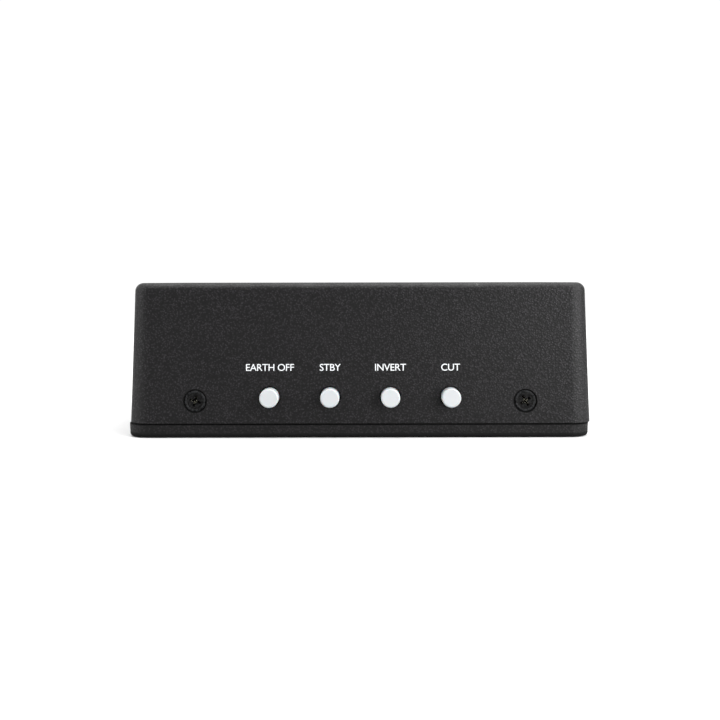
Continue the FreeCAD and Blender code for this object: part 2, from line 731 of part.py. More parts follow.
def terminal_places():
    """The six terminals of one switch, across and up from its axis."""
    rows = ("0 - terminal_row / 2", "terminal_row / 2")
    return [(f"{i} * terminal_pitch", row) for row in rows for i in (-1, 0, 1)]


def header_places():
    """Where each header pin stands along X."""
    count = int(value("header_count"))
    return [f"({i} - (header_count - 1) / 2) * header_pitch" for i in range(count)]


def make_switch_board():
    """The upright board, with holes for the terminals, the header and two screws."""
    body = new_body("switch_board")
    sketch = new_sketch(body)
    middle = "switch_board_bottom + switch_board_height / 2"
    rectangle(sketch, "switch_board_length", "switch_board_height", "0", middle)
    for side in (-1, 1):
        circle(sketch, "clearance_radius", f"{side} * panel_screw_pitch / 2", "panel_screw_height")
    for i in range(len(SWITCH_NAMES)):
        for x, y in terminal_places():
            across, up = f"({i} - 1.5) * button_pitch + ({x})", f"button_height + ({y})"
            circle(sketch, "terminal_radius + pin_hole_gap", across, up)
    for x in header_places():
        circle(sketch, "header_hole", x, "main_board_top + header_rise")
    pad(body, sketch, "board_thickness", reverse=True)
    place(body, ("0", "switch_board_face", "0"), TO_FRONT)
    keep(body, "switch_board")


PLACES["header_hole"] = "(header_side * 0.7072 + pin_hole_gap)"


def make_switch(name, index):
    """One latching push switch and its cap, standing on the board towards the front."""
    at = (f"({index} - 1.5) * button_pitch", "switch_board_face", "button_height")

    housing = new_body(f"{name}_switch_housing")
    square = new_sketch(housing)
    rectangle(square, "switch_side", "switch_side")
    pad(housing, square, "switch_height")
    dress(housing, "Fillet", "cap_edge", upright_edges)
    inside = new_sketch(housing)
    rectangle(inside, "switch_side - 2 * switch_wall", "switch_side - 2 * switch_wall")
    pocket(housing, inside, "switch_height - switch_front", reverse=True)
    guide = new_sketch(housing)
    rectangle(guide, "plunger_side + 2 * fit_gap", "plunger_side + 2 * fit_gap")
    pocket(housing, guide, "switch_height", reverse=True)
    keep(place(housing, at, TO_FRONT), f"{name}_switch_housing")

    base = new_body(f"{name}_switch_base")
    floor = new_sketch(base)
    side = "switch_side - 2 * switch_wall - 2 * fit_gap"
    rectangle(floor, side, side)
    pad(base, floor, "switch_base")
    keep(place(base, at, TO_FRONT), f"{name}_switch_base")

    plunger = new_body(f"{name}_plunger")
    flange = new_sketch(plunger, offset="flange_back")
    rectangle(flange, "flange_side", "flange_side")
    pad(plunger, flange, "flange_height")
    stem = new_sketch(plunger, offset="flange_back")
    rectangle(stem, "plunger_side", "plunger_side")
    pad(plunger, stem, "cap_back + plunger_grip - flange_back")
    stub = new_sketch(plunger, offset="flange_back")
    circle(stub, "stub_radius")
    pad(plunger, stub, "stub_length", reverse=True)
    keep(place(plunger, at, TO_FRONT), f"{name}_plunger")

    cap = new_body(f"{name}_cap")
    disc = new_sketch(cap, offset="cap_back")
    circle(disc, "cap_radius")
    pad(cap, disc, "cap_length")
    dress(cap, "Fillet", "cap_edge", edges_at("cap_back + cap_length"))
    socket = new_sketch(cap, offset="cap_back")
    rectangle(socket, "plunger_side", "plunger_side")
    pocket(cap, socket, "plunger_grip", reverse=True)
    keep(place(cap, at, TO_FRONT), f"{name}_cap")

    spring = new_body(f"{name}_spring")
    wire = new_sketch(spring, "XZ_Plane")
    circle(wire, "wire_radius", "coil_radius", "switch_base + wire_radius")
    coil = spring.newObject("PartDesign::AdditiveHelix", f"{name}_coil")
    coil.Profile = wire
    coil.ReferenceAxis = (wire, ["V_Axis"])
    coil.Mode = 1
    rise = "flange_back - switch_base - 2 * wire_radius"
    coil.setExpression("Height", ex(rise))
    coil.setExpression("Pitch", ex(f"({rise}) / coil_turns"))
    doc.recompute()
    keep(place(spring, at, TO_FRONT), f"{name}_spring")


def make_terminals():
    """The soldered terminals of all four switches."""
    pins = []
    length = "board_thickness + pin_tail"
    for i, name in enumerate(SWITCH_NAMES):
        for number, (x, y) in enumerate(terminal_places(), start=1):
            across, up = f"({i} - 1.5) * button_pitch + ({x})", f"button_height + ({y})"
            at, label = (across, "switch_board_face", up), f"{name}_terminal_{number}"
            pins.append(cylinder(label, "terminal_radius", length, at, INWARD))
    keep(group("switch_terminals", pins), "switch_terminals")


# ---- the main board ----


def jack_pin_places():
    """The six pins of one jack, across from its axis and forward of its face."""
    sides, steps = (-1, 1), (1, 2, 3)
    return [(f"{a} * jack_side * 0.36", f"{b} * jack_length / 4") for a in sides for b in steps]


def transformer_pin_places():
    """The six pins of the transformer, from its centre."""
    return [(f"{i} * can_length / 4", f"{side} * can_width / 3") for side in (-1, 1) for i in (-1, 0, 1)]


def make_main_board():
    """The level board, with holes for the jack, header and transformer pins."""
    body = new_body("main_board")
    sketch = new_sketch(body, offset="main_board_bottom")
    middle = "(main_board_start + main_board_end) / 2"
    rectangle(sketch, "main_board_length", "main_board_end - main_board_start", "0", middle)
    for _, jack_x in JACKS:
        for x, back in jack_pin_places():
            circle(sketch, "header_hole", f"{jack_x} + ({x})", f"jack_face - ({back})")
    for x in header_places():
        circle(sketch, "header_hole", x, "main_board_start + header_setback")
    for x, y in transformer_pin_places():
        circle(sketch, "header_hole", f"can_x + ({x})", f"can_y + ({y})")
    pad(body, sketch, "board_thickness")
    keep(body, "main_board")


def make_header():
    """Right-angle pins that join the two boards, in a plastic strip."""
    pins = []
    for number, x in enumerate(header_places(), start=1):
        low_x = f"({x}) - header_side / 2"
        y, side = "main_board_start + header_setback - header_side / 2", "header_side"
        rise = "board_thickness + pin_tail + header_rise + header_side / 2"
        leg = block(f"header_leg_{number}", (side, side, rise), (low_x, y, "main_board_bottom - pin_tail"))
        reach = "header_setback + header_side / 2 + main_board_front + board_thickness + pin_tail"
        front = "switch_board_face - pin_tail"
        arm_at = (low_x, front, "main_board_top + header_rise - header_side / 2")
        arm = block(f"header_arm_{number}", (side, reach, side), arm_at)
        pin = doc.addObject("Part::Fuse", f"header_pin_{number}")
        pin.Base, pin.Tool, pin.Refine = leg, arm, True
        pins.append(pin)
    keep(group("header_pins", pins), "header_pins")
    strip = new_body("header_strip")
    sketch = new_sketch(strip, offset="main_board_top")
    y = "main_board_start + header_setback"
    rectangle(sketch, "header_count * header_pitch", "header_pitch", "0", y)
    for x in header_places():
        rectangle(sketch, "header_side", "header_side", x, y)
    pad(strip, sketch, "header_pitch")
    keep(strip, "header_strip")


def make_jack(name, jack_x):
    """One quarter-inch jack: its housing, ferrule and tip contact."""
    at = (jack_x, "jack_face", "jack_height")
    housing = new_body(f"{name}_jack_housing")
    face = new_sketch(housing)
    lift = "jack_top / 2 - jack_axis_height"
    rectangle(face, "jack_side", "jack_top", "0", lift)
    pad(housing, face, "jack_length", reverse=True)
    dress(housing, "Fillet", "cap_edge", upright_edges)
    bore = new_sketch(housing)
    circle(bore, "plug_radius + plug_relief")
    pocket(housing, bore, "plug_depth")
    seat = new_sketch(housing)
    circle(seat, "ferrule_radius")
    pocket(housing, seat, "ferrule_grip")
    slot = new_sketch(housing, offset="0 - ferrule_grip - strip_start")
    rectangle(slot, "plug_radius * 1.5", "plug_radius", "0", "plug_radius * 1.4")
    pocket(housing, slot, "plug_depth - ferrule_grip - strip_start")
    keep(place(housing, at, TO_REAR), f"{name}_jack_housing")

    ferrule = new_body(f"{name}_jack_ferrule")
    outer_end = "jack_seat - jack_face + ferrule_reach"
    revolve(
        ferrule,
        [
            ("plug_radius", "0 - ferrule_grip"),
            ("ferrule_radius", "0 - ferrule_grip"),
            ("ferrule_radius", f"{outer_end} - ferrule_bevel"),
            ("ferrule_radius - ferrule_bevel", outer_end),
            ("plug_radius + ferrule_bevel", outer_end),
            ("plug_radius", f"{outer_end} - ferrule_bevel"),
        ],
    )
    keep(place(ferrule, at, TO_REAR), f"{name}_jack_ferrule")


def make_jack_hardware():
    """Washers, hex nuts, tip contacts and solder pins of both jacks."""
    washers, nuts, contacts, pins = [], [], [], []
    hole = "ferrule_radius + thread_gap"
    for name, jack_x in JACKS:
        seat = (jack_x, "jack_seat", "jack_height")
        disc = cylinder(f"{name}_washer_disc", "washer_radius", "washer_height", seat, TO_REAR)
        centre = cylinder(f"{name}_washer_hole", hole, "washer_height", seat, TO_REAR)
        washers.append(cut(f"{name}_washer", disc, [centre]))
        on_washer = (jack_x, "jack_seat + washer_height", "jack_height")
        hexagon = primitive(
            "Prism",
            f"{name}_nut_hexagon",
            {"Circumradius": "nut_flats / sqrt(3)", "Height": "nut_height"},
            on_washer,
            TO_REAR,
        )
        rounding = cone(
            f"{name}_nut_rounding",
            "nut_flats / sqrt(3) + 1",
            "nut_flats / 2 - 0.1",
            "nut_height",
            on_washer,
            TO_REAR,
        )
        turned = doc.addObject("Part::Common", f"{name}_nut_turned")
        turned.Base, turned.Tool = hexagon, rounding
        thread = cylinder(f"{name}_nut_thread", hole, "nut_height", on_washer, TO_REAR)
        nuts.append(cut(f"{name}_nut", turned, [thread]))
        contacts.append(tip_contact(name, jack_x))
        for number, (x, back) in enumerate(jack_pin_places(), start=1):
            at = (f"{jack_x} + ({x})", f"jack_face - ({back})", "main_board_bottom - pin_tail")
            length = "board_thickness + pin_tail"
            pins.append(cylinder(f"{name}_jack_pin_{number}", "header_side * 0.7", length, at))
    keep(group("jack_washers", washers), "jack_washers")
    keep(group("jack_nuts", nuts), "jack_nuts")
    keep(group("jack_contacts", contacts), "jack_contacts")
    keep(group("jack_pins", pins), "jack_pins")


def tip_contact(name, jack_x):
    """A bent strip above the plug bore, against the back of its slot."""
    body = new_body(f"{name}_tip_contact")
    sketch = new_sketch(body, "YZ_Plane")
    back = "0 - plug_depth"
    high, low, thick = "plug_radius * 1.75", "plug_radius + strip_clearance", "strip_thickness"
    nearer = "0 - ferrule_grip - strip_start - 1"
    bend = f"({back}) + strip_bend"
    outline(
        sketch,
        [
            (high, back),
            (f"{high} - {thick}", back),
            (low, bend),
            (f"{high} - {thick}", f"({bend}) + strip_slope"),
            (f"{high} - {thick}", nearer),
            (high, nearer),
            (high, f"({bend}) + strip_slope - {thick} / 2"),
            (f"{low} + {thick}", bend),
        ],
    )
    strip = pad(body, sketch, "plug_radius")
    strip.Midplane = True
    return place(body, (jack_x, "jack_face", "jack_height"), TO_REAR)


# ---- the output connector ----


def make_output():
    """The male three-pin connector, square to the sloping rear wall."""
    at, turn = rear_point("0", "0"), rear_turn()
    shell = new_body("output_shell_turning")
    plate = new_sketch(shell)
    rounded_rectangle(plate, "output_flange_length", "output_flange_height", "head_radius")
    pad(shell, plate, "output_flange")
    dress(shell, "Chamfer", "cap_edge", edges_at("output_flange"))
    collar = new_sketch(shell)
    circle(collar, "output_collar_radius")
    pad(shell, collar, "output_flange + output_collar")
    tube = new_sketch(shell)
    circle(tube, "output_shell_radius")
    pad(shell, tube, "output_depth", reverse=True)
    bore = new_sketch(shell, offset="output_flange + output_collar")
    circle(bore, "output_bore_radius")
    pocket(shell, bore, "output_flange + output_collar + output_depth")
    key = new_sketch(shell, offset="output_flange + output_collar")
    rectangle(key, "key_width", "2 * key_depth", "0", "output_bore_radius")
    pocket(shell, key, "output_flange + output_collar + output_depth - insert_height")
    doc.recompute()
    place(shell, at, turn)
    tools = []
    for side, word in ((1, "upper"), (-1, "lower")):
        dx, dz = f"{side} * output_screw_x", f"{side} * output_screw_z"
        hole_at = rear_point(dx, dz, "output_flange")
        inward, through = rear_turn(flip=True), "output_flange"
        tools.append(cylinder(f"{word}_flange_hole", "clearance_radius", through, hole_at, inward))
        places = [rear_point(dx, dz, f"output_flange - ({d})") for d in ("0 - 1", "ring_depth")]
        tools += countersink(f"{word}_flange", *places, inward)
    keep(cut("output_shell", shell, tools), "output_shell")

    insert = new_body("output_insert")
    disc = new_sketch(insert, offset="0 - output_depth")
    circle(disc, "output_bore_radius - fit_gap / 2")
    for x, y in contact_places():
        circle(disc, "contact_radius", x, y)
    pad(insert, disc, "insert_height")
    keep(place(insert, at, turn), "output_insert")

    screws = []
    for side, word in ((1, "upper"), (-1, "lower")):
        dx, dz = f"{side} * output_screw_x", f"{side} * output_screw_z"
        head_at = rear_point(dx, dz, "output_flange - head_recess")
        spin = turn.multiply(Rotation(25 * side, 0, 0))
        screws.append(countersunk_screw(f"{word}_output_screw", "connector_screw_length", head_at, spin))
    keep(group("output_screws", screws), "output_screws")

    contacts, leads = [], []
    for number, (x, y) in enumerate(contact_places(), start=1):
        contact = new_body(f"output_contact_{number}")
        back = "0 - output_depth - contact_tail"
        tip = "0 - output_depth + insert_height + contact_reach"
        revolve(
            contact,
            [
                ("0", back),
                ("contact_radius", back),
                ("contact_radius", f"{tip} - contact_radius * 0.6"),
                ("contact_radius * 0.75", f"{tip} - contact_radius * 0.2"),
                ("contact_radius * 0.4", tip),
                ("0", tip),
            ],
        )
        contacts.append(place(contact, rear_point(x, y), turn))
        end = Vector(*(value(text) for text in rear_point(x, y, back)))
        leads.append(make_lead(number, end, turn.multVec(Vector(0, 0, -1))))
    keep(group("output_contacts", contacts), "output_contacts")
    keep(group("output_leads", leads), "output_leads")


def contact_places():
    """The three contacts from the connector's axis: two level with it and one below."""
    circle_radius = "contact_circle"
    return [(circle_radius, "0"), (f"0 - {circle_radius}", "0"), ("0", f"0 - {circle_radius}")]


def make_lead(number, start, way):
    """An insulated lead: straight back from a contact, one bend, then down to the board."""
    radius, bend = value("lead_radius"), value("lead_bend")
    corner = start + way * value("lead_run")
    foot = Vector(corner.x, corner.y, value("main_board_top"))
    down = Vector(0, 0, -1)
    turn = way.getAngle(down)
    setback = bend * math.tan(turn / 2)
    arc_start, arc_end = corner - way * setback, corner + down * setback
    bisector = (down - way).normalize()
    centre = corner + bisector * (bend / math.cos(turn / 2))
    middle = centre - bisector * bend
    path = Part.Wire(
        [
            Part.LineSegment(start, arc_start).toShape(),
            Part.Arc(arc_start, middle, arc_end).toShape(),
            Part.LineSegment(arc_end, foot).toShape(),
        ]
    )
    profile = Part.Wire(Part.Circle(start, way, radius).toShape())
    lead = doc.addObject("Part::Feature", f"output_lead_{number}")
    lead.Shape = path.makePipeShell([profile], True, True)
    share = lead.Shape.Volume / (path.Length * math.pi * radius**2)
    print(f"lead {number}: {path.Length:.2f} mm long, bend {bend}, volume share {share:.3f}")
    return lead


# ---- the transformer ----


def make_transformer():
    """A shielding can over a small laminated core with its winding."""
    centre = ("can_x", "can_y", "main_board_top")
    can = new_body("transformer_can")
    outside = new_sketch(can)
    rounded_rectangle(outside, "can_length", "can_width", "can_corner")
    pad(can, outside, "can_height")
    dress(can, "Fillet", "can_wall", edges_at("can_height"))
    inside = new_sketch(can)
    size = ("can_length - 2 * can_wall", "can_width - 2 * can_wall")
    rounded_rectangle(inside, *size, "can_corner - can_wall")
    pocket(can, inside, "can_height - can_wall", reverse=True)
    keep(place(can, centre), "transformer_can")

    bobbin = new_body("transformer_base")
    plate = new_sketch(bobbin)
    inner = "2 * (can_wall + fit_gap)"
    rounded_rectangle(plate, f"can_length - {inner}", f"can_width - {inner}", "can_corner - can_wall")
    pad(bobbin, plate, "bobbin_height")
    keep(place(bobbin, centre), "transformer_base")

    core = new_body("transformer_core")
    stack = new_sketch(core, "XZ_Plane")
    middle = "bobbin_height + core_height / 2"
    rectangle(stack, "core_length", "core_height", "0", middle)
    for side in (-1, 1):
        x = f"{side} * (leg_width + window_width) / 2"
        rectangle(stack, "window_width", "window_height", x, middle)
    pad(core, stack, "core_width").Midplane = True
    keep(place(core, centre), "transformer_core")

    coil = new_body("transformer_coil")
    ring = new_sketch(coil, offset="bobbin_height + (core_height - window_height) / 2 + coil_gap")
    outer_x = "leg_width + 2 * window_width - 2 * coil_gap"
    rectangle(ring, outer_x, "core_width + 2 * coil_wrap")
    rectangle(ring, "leg_width + 2 * coil_gap", "core_width + 2 * coil_gap")
    pad(coil, ring, "window_height - 2 * coil_gap")
    keep(place(coil, centre), "transformer_coil")

    pins = []
    for number, (x, y) in enumerate(transformer_pin_places(), start=1):
        at = (f"can_x + ({x})", f"can_y + ({y})", "main_board_bottom - pin_tail")
        length = "board_thickness + pin_tail"
        pins.append(cylinder(f"transformer_pin_{number}", "header_side * 0.7", length, at))
    keep(group("transformer_pins", pins), "transformer_pins")


# ---- the small components ----


def make_components():
    """Capacitors, amplifier chips and resistors along the front of the main board."""
    row = "(main_board_start + header_setback + drum_setback)"
    drums = []
    for number, x in enumerate((-42, -33, -24, 24, 33, 42), start=1):
        drum = new_body(f"electrolytic_{number}")
        foot = new_sketch(drum)
        circle(foot, "drum_radius")
        pad(drum, foot, "drum_height")
        dress(drum, "Fillet", "cap_edge", edges_at("drum_height"))
        drums.append(place(drum, (f"{x}", row, "main_board_top")))
    keep(group("electrolytic_capacitors", drums), "electrolytic_capacitors")

    films = []
    for number, x in enumerate((-14.5, -5.5, 3.5, 12.5), start=1):
        at = (f"{x} - film_length / 2", f"{row} - film_width / 2", "main_board_top")
        box = block(f"film_box_{number}", ("film_length", "film_width", "film_height"), at)
        films.append(box)
    keep(group("film_capacitors", films), "film_capacitors")

    front_row = "(main_board_start + header_setback + chip_setback)"
    chips = []
    for number, x in enumerate((-38, -28, -18), start=1):
        at = (f"{x} - chip_length / 2", f"{front_row} - chip_width / 2", "main_board_top")
        chips.append(block(f"chip_{number}", ("chip_length", "chip_width", "chip_height"), at))
    keep(group("amplifier_chips", chips), "amplifier_chips")

    resistors = []
    for number in range(int(value("resistor_count"))):
        low_x = f"resistor_start + {number} * resistor_pitch - resistor_length / 2"
        low_y = f"{front_row} - resistor_width / 2"
        at = (low_x, low_y, "main_board_top")
        size = ("resistor_length", "resistor_width", "resistor_height")
        resistors.append(block(f"resistor_{number + 1}", size, at))
    keep(group("chip_resistors", resistors), "chip_resistors")


# ---- build, check and write ----


def build():
    fill_sheet()
    make_case()
    make_lid()
    make_case_screws()
    make_spacers()
    make_switch_board()
    for index, name in enumerate(SWITCH_NAMES):
        make_switch(name, index)
    make_terminals()
    make_main_board()
    make_header()
    for name, jack_x in JACKS:
        make_jack(name, jack_x)
    make_jack_hardware()
    make_output()
    make_transformer()
    make_components()
    doc.recompute()


def check():
    """Stops if any object failed, or a sub-part's shape is empty or invalid."""
    for piece in doc.Objects:
        if {"Invalid", "Error"} & set(piece.State):
            raise RuntimeError(f"{piece.Label} did not build: {piece.State}")
    for piece in parts:
        if piece.Shape.isNull() or not piece.Shape.isValid() or not piece.Shape.Solids:
            raise RuntimeError(f"{piece.Label} is not a valid solid")


def write():
    os.makedirs("parts", exist_ok=True)
    for piece in parts:
        piece.Shape.exportStep(os.path.join("parts", piece.Label + ".step"))
        box = piece.Shape.BoundBox
        solids, volume = len(piece.Shape.Solids), piece.Shape.Volume
        print(f"{piece.Label}: {solids} solid(s), {volume:.1f} mm3, z {box.ZMin:.2f} to {box.ZMax:.2f}")


build()
check()
write()
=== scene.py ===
# %% [markdown]
# # A direct injection box, from its frame to its finish
# The box is a small die-cast case that stands between an instrument and a mixing desk. Its
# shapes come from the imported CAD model, which this script loads as a fixed frame. What is added
# here is what a maker would add last: finishes, printing, springs and solder.

# %% The frame and its sizes
import json
import math

import bpy
from mathutils import Matrix, Vector


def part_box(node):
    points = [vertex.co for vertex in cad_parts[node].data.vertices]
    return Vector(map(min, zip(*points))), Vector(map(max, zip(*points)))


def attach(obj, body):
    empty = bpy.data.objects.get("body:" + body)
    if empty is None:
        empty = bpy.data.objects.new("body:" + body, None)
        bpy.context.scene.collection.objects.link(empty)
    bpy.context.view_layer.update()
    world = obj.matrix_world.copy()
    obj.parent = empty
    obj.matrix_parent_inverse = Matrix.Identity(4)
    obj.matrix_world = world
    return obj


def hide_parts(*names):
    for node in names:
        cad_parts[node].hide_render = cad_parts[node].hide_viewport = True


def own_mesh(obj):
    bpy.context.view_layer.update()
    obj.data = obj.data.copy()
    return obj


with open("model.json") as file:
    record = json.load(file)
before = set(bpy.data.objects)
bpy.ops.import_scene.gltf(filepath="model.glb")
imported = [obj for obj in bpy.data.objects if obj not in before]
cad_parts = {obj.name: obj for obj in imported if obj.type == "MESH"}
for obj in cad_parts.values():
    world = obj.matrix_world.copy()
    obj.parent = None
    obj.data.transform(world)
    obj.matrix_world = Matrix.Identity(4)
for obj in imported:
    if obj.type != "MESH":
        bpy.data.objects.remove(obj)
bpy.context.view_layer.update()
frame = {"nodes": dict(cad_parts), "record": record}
nodes = frame["nodes"]
case_low, case_high = (Vector(c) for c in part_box("case_body"))

# %% [markdown]
# ## Words for sizes
# Every size in this file is in metres, but a box of this kind is easier to think about in
# millimetres. The draft is the lean of a cast wall that lets the casting leave its mould.

# %% Millimetres and the draft
MM = 0.001
RIM = case_low.z
TOP = case_high.z
DRAFT = math.radians(1.87)
SLOPE = math.tan(DRAFT)
HALF_LENGTH = (case_high.x - case_low.x) / 2
HALF_WIDTH = (case_high.y - case_low.y) / 2
BUTTONS = ["ground", "mute", "polarity", "filter"]
JACKS = ["input", "thru"]


def middle(node):
    low, high = (Vector(c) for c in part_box(node))
    return (low + high) / 2


def front_wall(z):
    """Y of the front wall's outside at a height: the wall leans back as it rises."""
    return -HALF_WIDTH + (z - RIM) * SLOPE


print("rim", RIM / MM, "mm, top", TOP / MM, "mm, front wall at the rim", front_wall(RIM) / MM)

# %% [markdown]
# ## The camera
# A product picture of a front panel is taken square-on and level with the top of the box, so
# the top shows only as an edge. A level camera keeps uprights parallel; a small shift, rather
# than a tilt, moves the box to its place in the frame, as a view camera's rising front does.

# %% A level camera with a small shift
CAMERA_DISTANCE = 231 * MM
CAMERA_RISE = 0.3 * MM
camera_data = bpy.data.cameras.new("panel_camera")
camera_data.sensor_width = 36
camera_data.lens = 44.66
camera_data.shift_y = -0.1091
camera_data.clip_start = 0.01
camera = bpy.data.objects.new("panel_camera", camera_data)
camera.location = (0.0, -HALF_WIDTH - CAMERA_DISTANCE, TOP + CAMERA_RISE)
camera.rotation_euler = (math.radians(90), math.radians(0.1), 0)
bpy.context.scene.collection.objects.link(camera)
bpy.context.scene.camera = camera
print("camera at", [round(v / MM, 1) for v in camera.location], "mm")

# %% [markdown]
# ## Floor and light
# Black paint shows its shape only by what it reflects. The floor and the room are pale. In a
# studio, white panels stand at both sides of a dark product, with darker gaps behind them, so
# that each rounded corner carries a bright line with a dark one outside it. The panels here are
# painted on the room itself, and the camera sees a plain white room. The standard view
# transform is used because a white room should come out white.

# %% A pale floor
bpy.context.scene.view_settings.view_transform = "Standard"
PALE = (0.93, 0.93, 0.93)
pale = bpy.data.materials.new("pale_floor")
pale.use_nodes = True
table = pale.node_tree
table_shader = table.nodes["Principled BSDF"].inputs
table_shader["Base Color"].default_value = (*PALE, 1)
table_shader["Roughness"].default_value = 0.8
floor_mesh = bpy.data.meshes.new("floor")
reach = 3.0
floor_mesh.from_pydata(
    [(-reach, -reach, 0), (reach, -reach, 0), (reach, reach, 0), (-reach, reach, 0)], [], [(0, 1, 2, 3)]
)
floor = bpy.data.objects.new("floor", floor_mesh)
floor_mesh.materials.append(pale)
bpy.context.scene.collection.objects.link(floor)
print("floor:", 2 * reach, "m square")

# %% [markdown]
# ## Wiring shader nodes in few words
# A finish is a small web of nodes. These helpers make a node, set its inputs by name and join
# it up, so that each finish below reads as a recipe. Patterns are laid on Object coordinates,
# which are plain metres on this object, so a size in a recipe is a real size.

# %% Helpers for shader nodes
def feed(tree, socket, source):
    """Joins a node's output to a socket, or sets the socket to a plain value."""
    if isinstance(source, bpy.types.NodeSocket):
        tree.links.new(source, socket)
    else:
        socket.default_value = source


def calc(tree, operation, *sources, clamp=False):
    node = tree.nodes.new("ShaderNodeMath")
    node.operation = operation
    node.use_clamp = clamp
    for socket, source in zip(node.inputs, sources):
        feed(tree, socket, source)
    return node.outputs[0]


def remap(tree, value, low, high, new_low=0.0, new_high=1.0):
    """Carries low..high smoothly to new_low..new_high, and holds beyond them."""
    node = tree.nodes.new("ShaderNodeMapRange")
    node.interpolation_type = "SMOOTHSTEP"
    names = ("Value", "From Min", "From Max", "To Min", "To Max")
    for name, source in zip(names, (value, low, high, new_low, new_high)):
        feed(tree, node.inputs[name], source)
    return node.outputs["Result"]


def noise(tree, where, scale, detail=2.0, roughness=0.5):
    node = tree.nodes.new("ShaderNodeTexNoise")
    for name, source in zip(("Vector", "Scale", "Detail", "Roughness"), (where, scale, detail, roughness)):
        feed(tree, node.inputs[name], source)
    return node.outputs["Fac"]


def blend_colour(tree, amount, first, second):
    node = tree.nodes.new("ShaderNodeMix")
    node.data_type = "RGBA"
    feed(tree, node.inputs[0], amount)
    feed(tree, node.inputs[6], first if isinstance(first, bpy.types.NodeSocket) else (*first, 1))
    feed(tree, node.inputs[7], second if isinstance(second, bpy.types.NodeSocket) else (*second, 1))
    return node.outputs[2]


def blend_value(tree, amount, first, second):
    node = tree.nodes.new("ShaderNodeMix")
    feed(tree, node.inputs[0], amount)
    feed(tree, node.inputs[2], first)
    feed(tree, node.inputs[3], second)
    return node.outputs[0]


def parts_of(tree, vector):
    node = tree.nodes.new("ShaderNodeSeparateXYZ")
    feed(tree, node.inputs[0], vector)
    return node.outputs[0], node.outputs[1], node.outputs[2]


# %% [markdown]
# ## The room
# A direction in the room is a point on a ball round the object. Its sideways part tells left
# from right, and its backward part tells front from behind. From these come two side panels,
# the right one brighter, a faint one overhead, and the dim gaps behind them. Light Path keeps
# the panels out of the picture's background: they light the object, and they show in its paint.
# The floor is darker for the paint than for the camera in the same way, because a bright table
# would glare in the lid.

# %% A white room with painted panels
world = bpy.data.worlds.new("white_room")
bpy.context.scene.world = world
world.use_nodes = True
room = world.node_tree
toward = room.nodes.new("ShaderNodeTexCoord").outputs["Generated"]
side, back, up = parts_of(room, toward)
front = remap(room, back, 0.10, -0.04)
right_panel = calc(room, "MULTIPLY", front, remap(room, side, 0.45, 0.8))
left_panel = calc(room, "MULTIPLY", front, remap(room, side, -0.55, -0.9))
top_panel = calc(room, "MULTIPLY", remap(room, up, 0.76, 0.84), remap(room, back, 0.95, 0.4))
gap = calc(room, "MULTIPLY", remap(room, side, 0.75, 0.9), remap(room, back, 0.06, 0.2))
EVEN_LIGHT = 0.64
BACKGROUND_LIGHT = 1.05
strength = EVEN_LIGHT
for panel_mask, gain in ((right_panel, 3.8), (left_panel, 2.4), (top_panel, 0.25), (gap, -0.6)):
    strength = calc(room, "ADD", strength, calc(room, "MULTIPLY", panel_mask, gain))
strength = calc(room, "ADD", strength, remap(room, back, 0.5, 0.8, 0.0, 0.25))
seen = room.nodes.new("ShaderNodeLightPath").outputs["Is Camera Ray"]
feed(room, room.nodes["Background"].inputs["Strength"], blend_value(room, seen, strength, BACKGROUND_LIGHT))
room.nodes["Background"].inputs["Color"].default_value = (1, 1, 1, 1)


def soft_light(name, place, aim, size, watts):
    data = bpy.data.lights.new(name, "AREA")
    data.shape = "RECTANGLE"
    data.size, data.size_y = size
    data.energy = watts
    light = bpy.data.objects.new(name, data)
    light.location = place
    light.rotation_euler = (Vector(aim) - Vector(place)).to_track_quat("-Z", "Y").to_euler()
    bpy.context.scene.collection.objects.link(light)


seen = table.nodes.new("ShaderNodeLightPath").outputs["Is Camera Ray"]
feed(table, table_shader["Base Color"], blend_colour(table, seen, (0.42, 0.42, 0.42), PALE))
soft_light("overhead_light", (0, 0.05, 0.75), (0, 0, 0.02), (0.9, 0.7), 5.0)
soft_light("right_light", (0.20, -0.22, 0.08), (0.04, 0, 0.02), (0.14, 0.22), 0.42)

# %% [markdown]
# ## Shader groups
# A group is a finish's building block: an effect with named inputs and outputs that several
# finishes share, each with its own values. This helper opens one, and a second one places it.

# %% Making and placing a group
def open_group(name, inputs, outputs):
    tree = bpy.data.node_groups.new(name, "ShaderNodeTree")
    for label, kind, start in inputs:
        socket = tree.interface.new_socket(label, in_out="INPUT", socket_type="NodeSocket" + kind)
        if start is not None:
            socket.default_value = start
    for label, kind in outputs:
        tree.interface.new_socket(label, in_out="OUTPUT", socket_type="NodeSocket" + kind)
    given = tree.nodes.new("NodeGroupInput")
    wanted = tree.nodes.new("NodeGroupOutput")
    return tree, given.outputs, wanted.inputs


def use_group(tree, group, **values):
    """Places a group; Grain_Size=0.3 sets its input called Grain Size."""
    node = tree.nodes.new("ShaderNodeGroup")
    node.node_tree = group
    for label, source in values.items():
        feed(tree, node.inputs[label.replace("_", " ")], source)
    return node.outputs


# %% [markdown]
# ## Grain
# Textured powder coat is paint that is baked from dust: it draws up into pebbles a few tenths
# of a millimetre across with narrow valleys between. A Voronoi texture gives the pebbles and a
# finer noise breaks them up. The group puts out a height for a bump, and a tone, because light
# catches the tops of real pebbles and dies in the valleys.

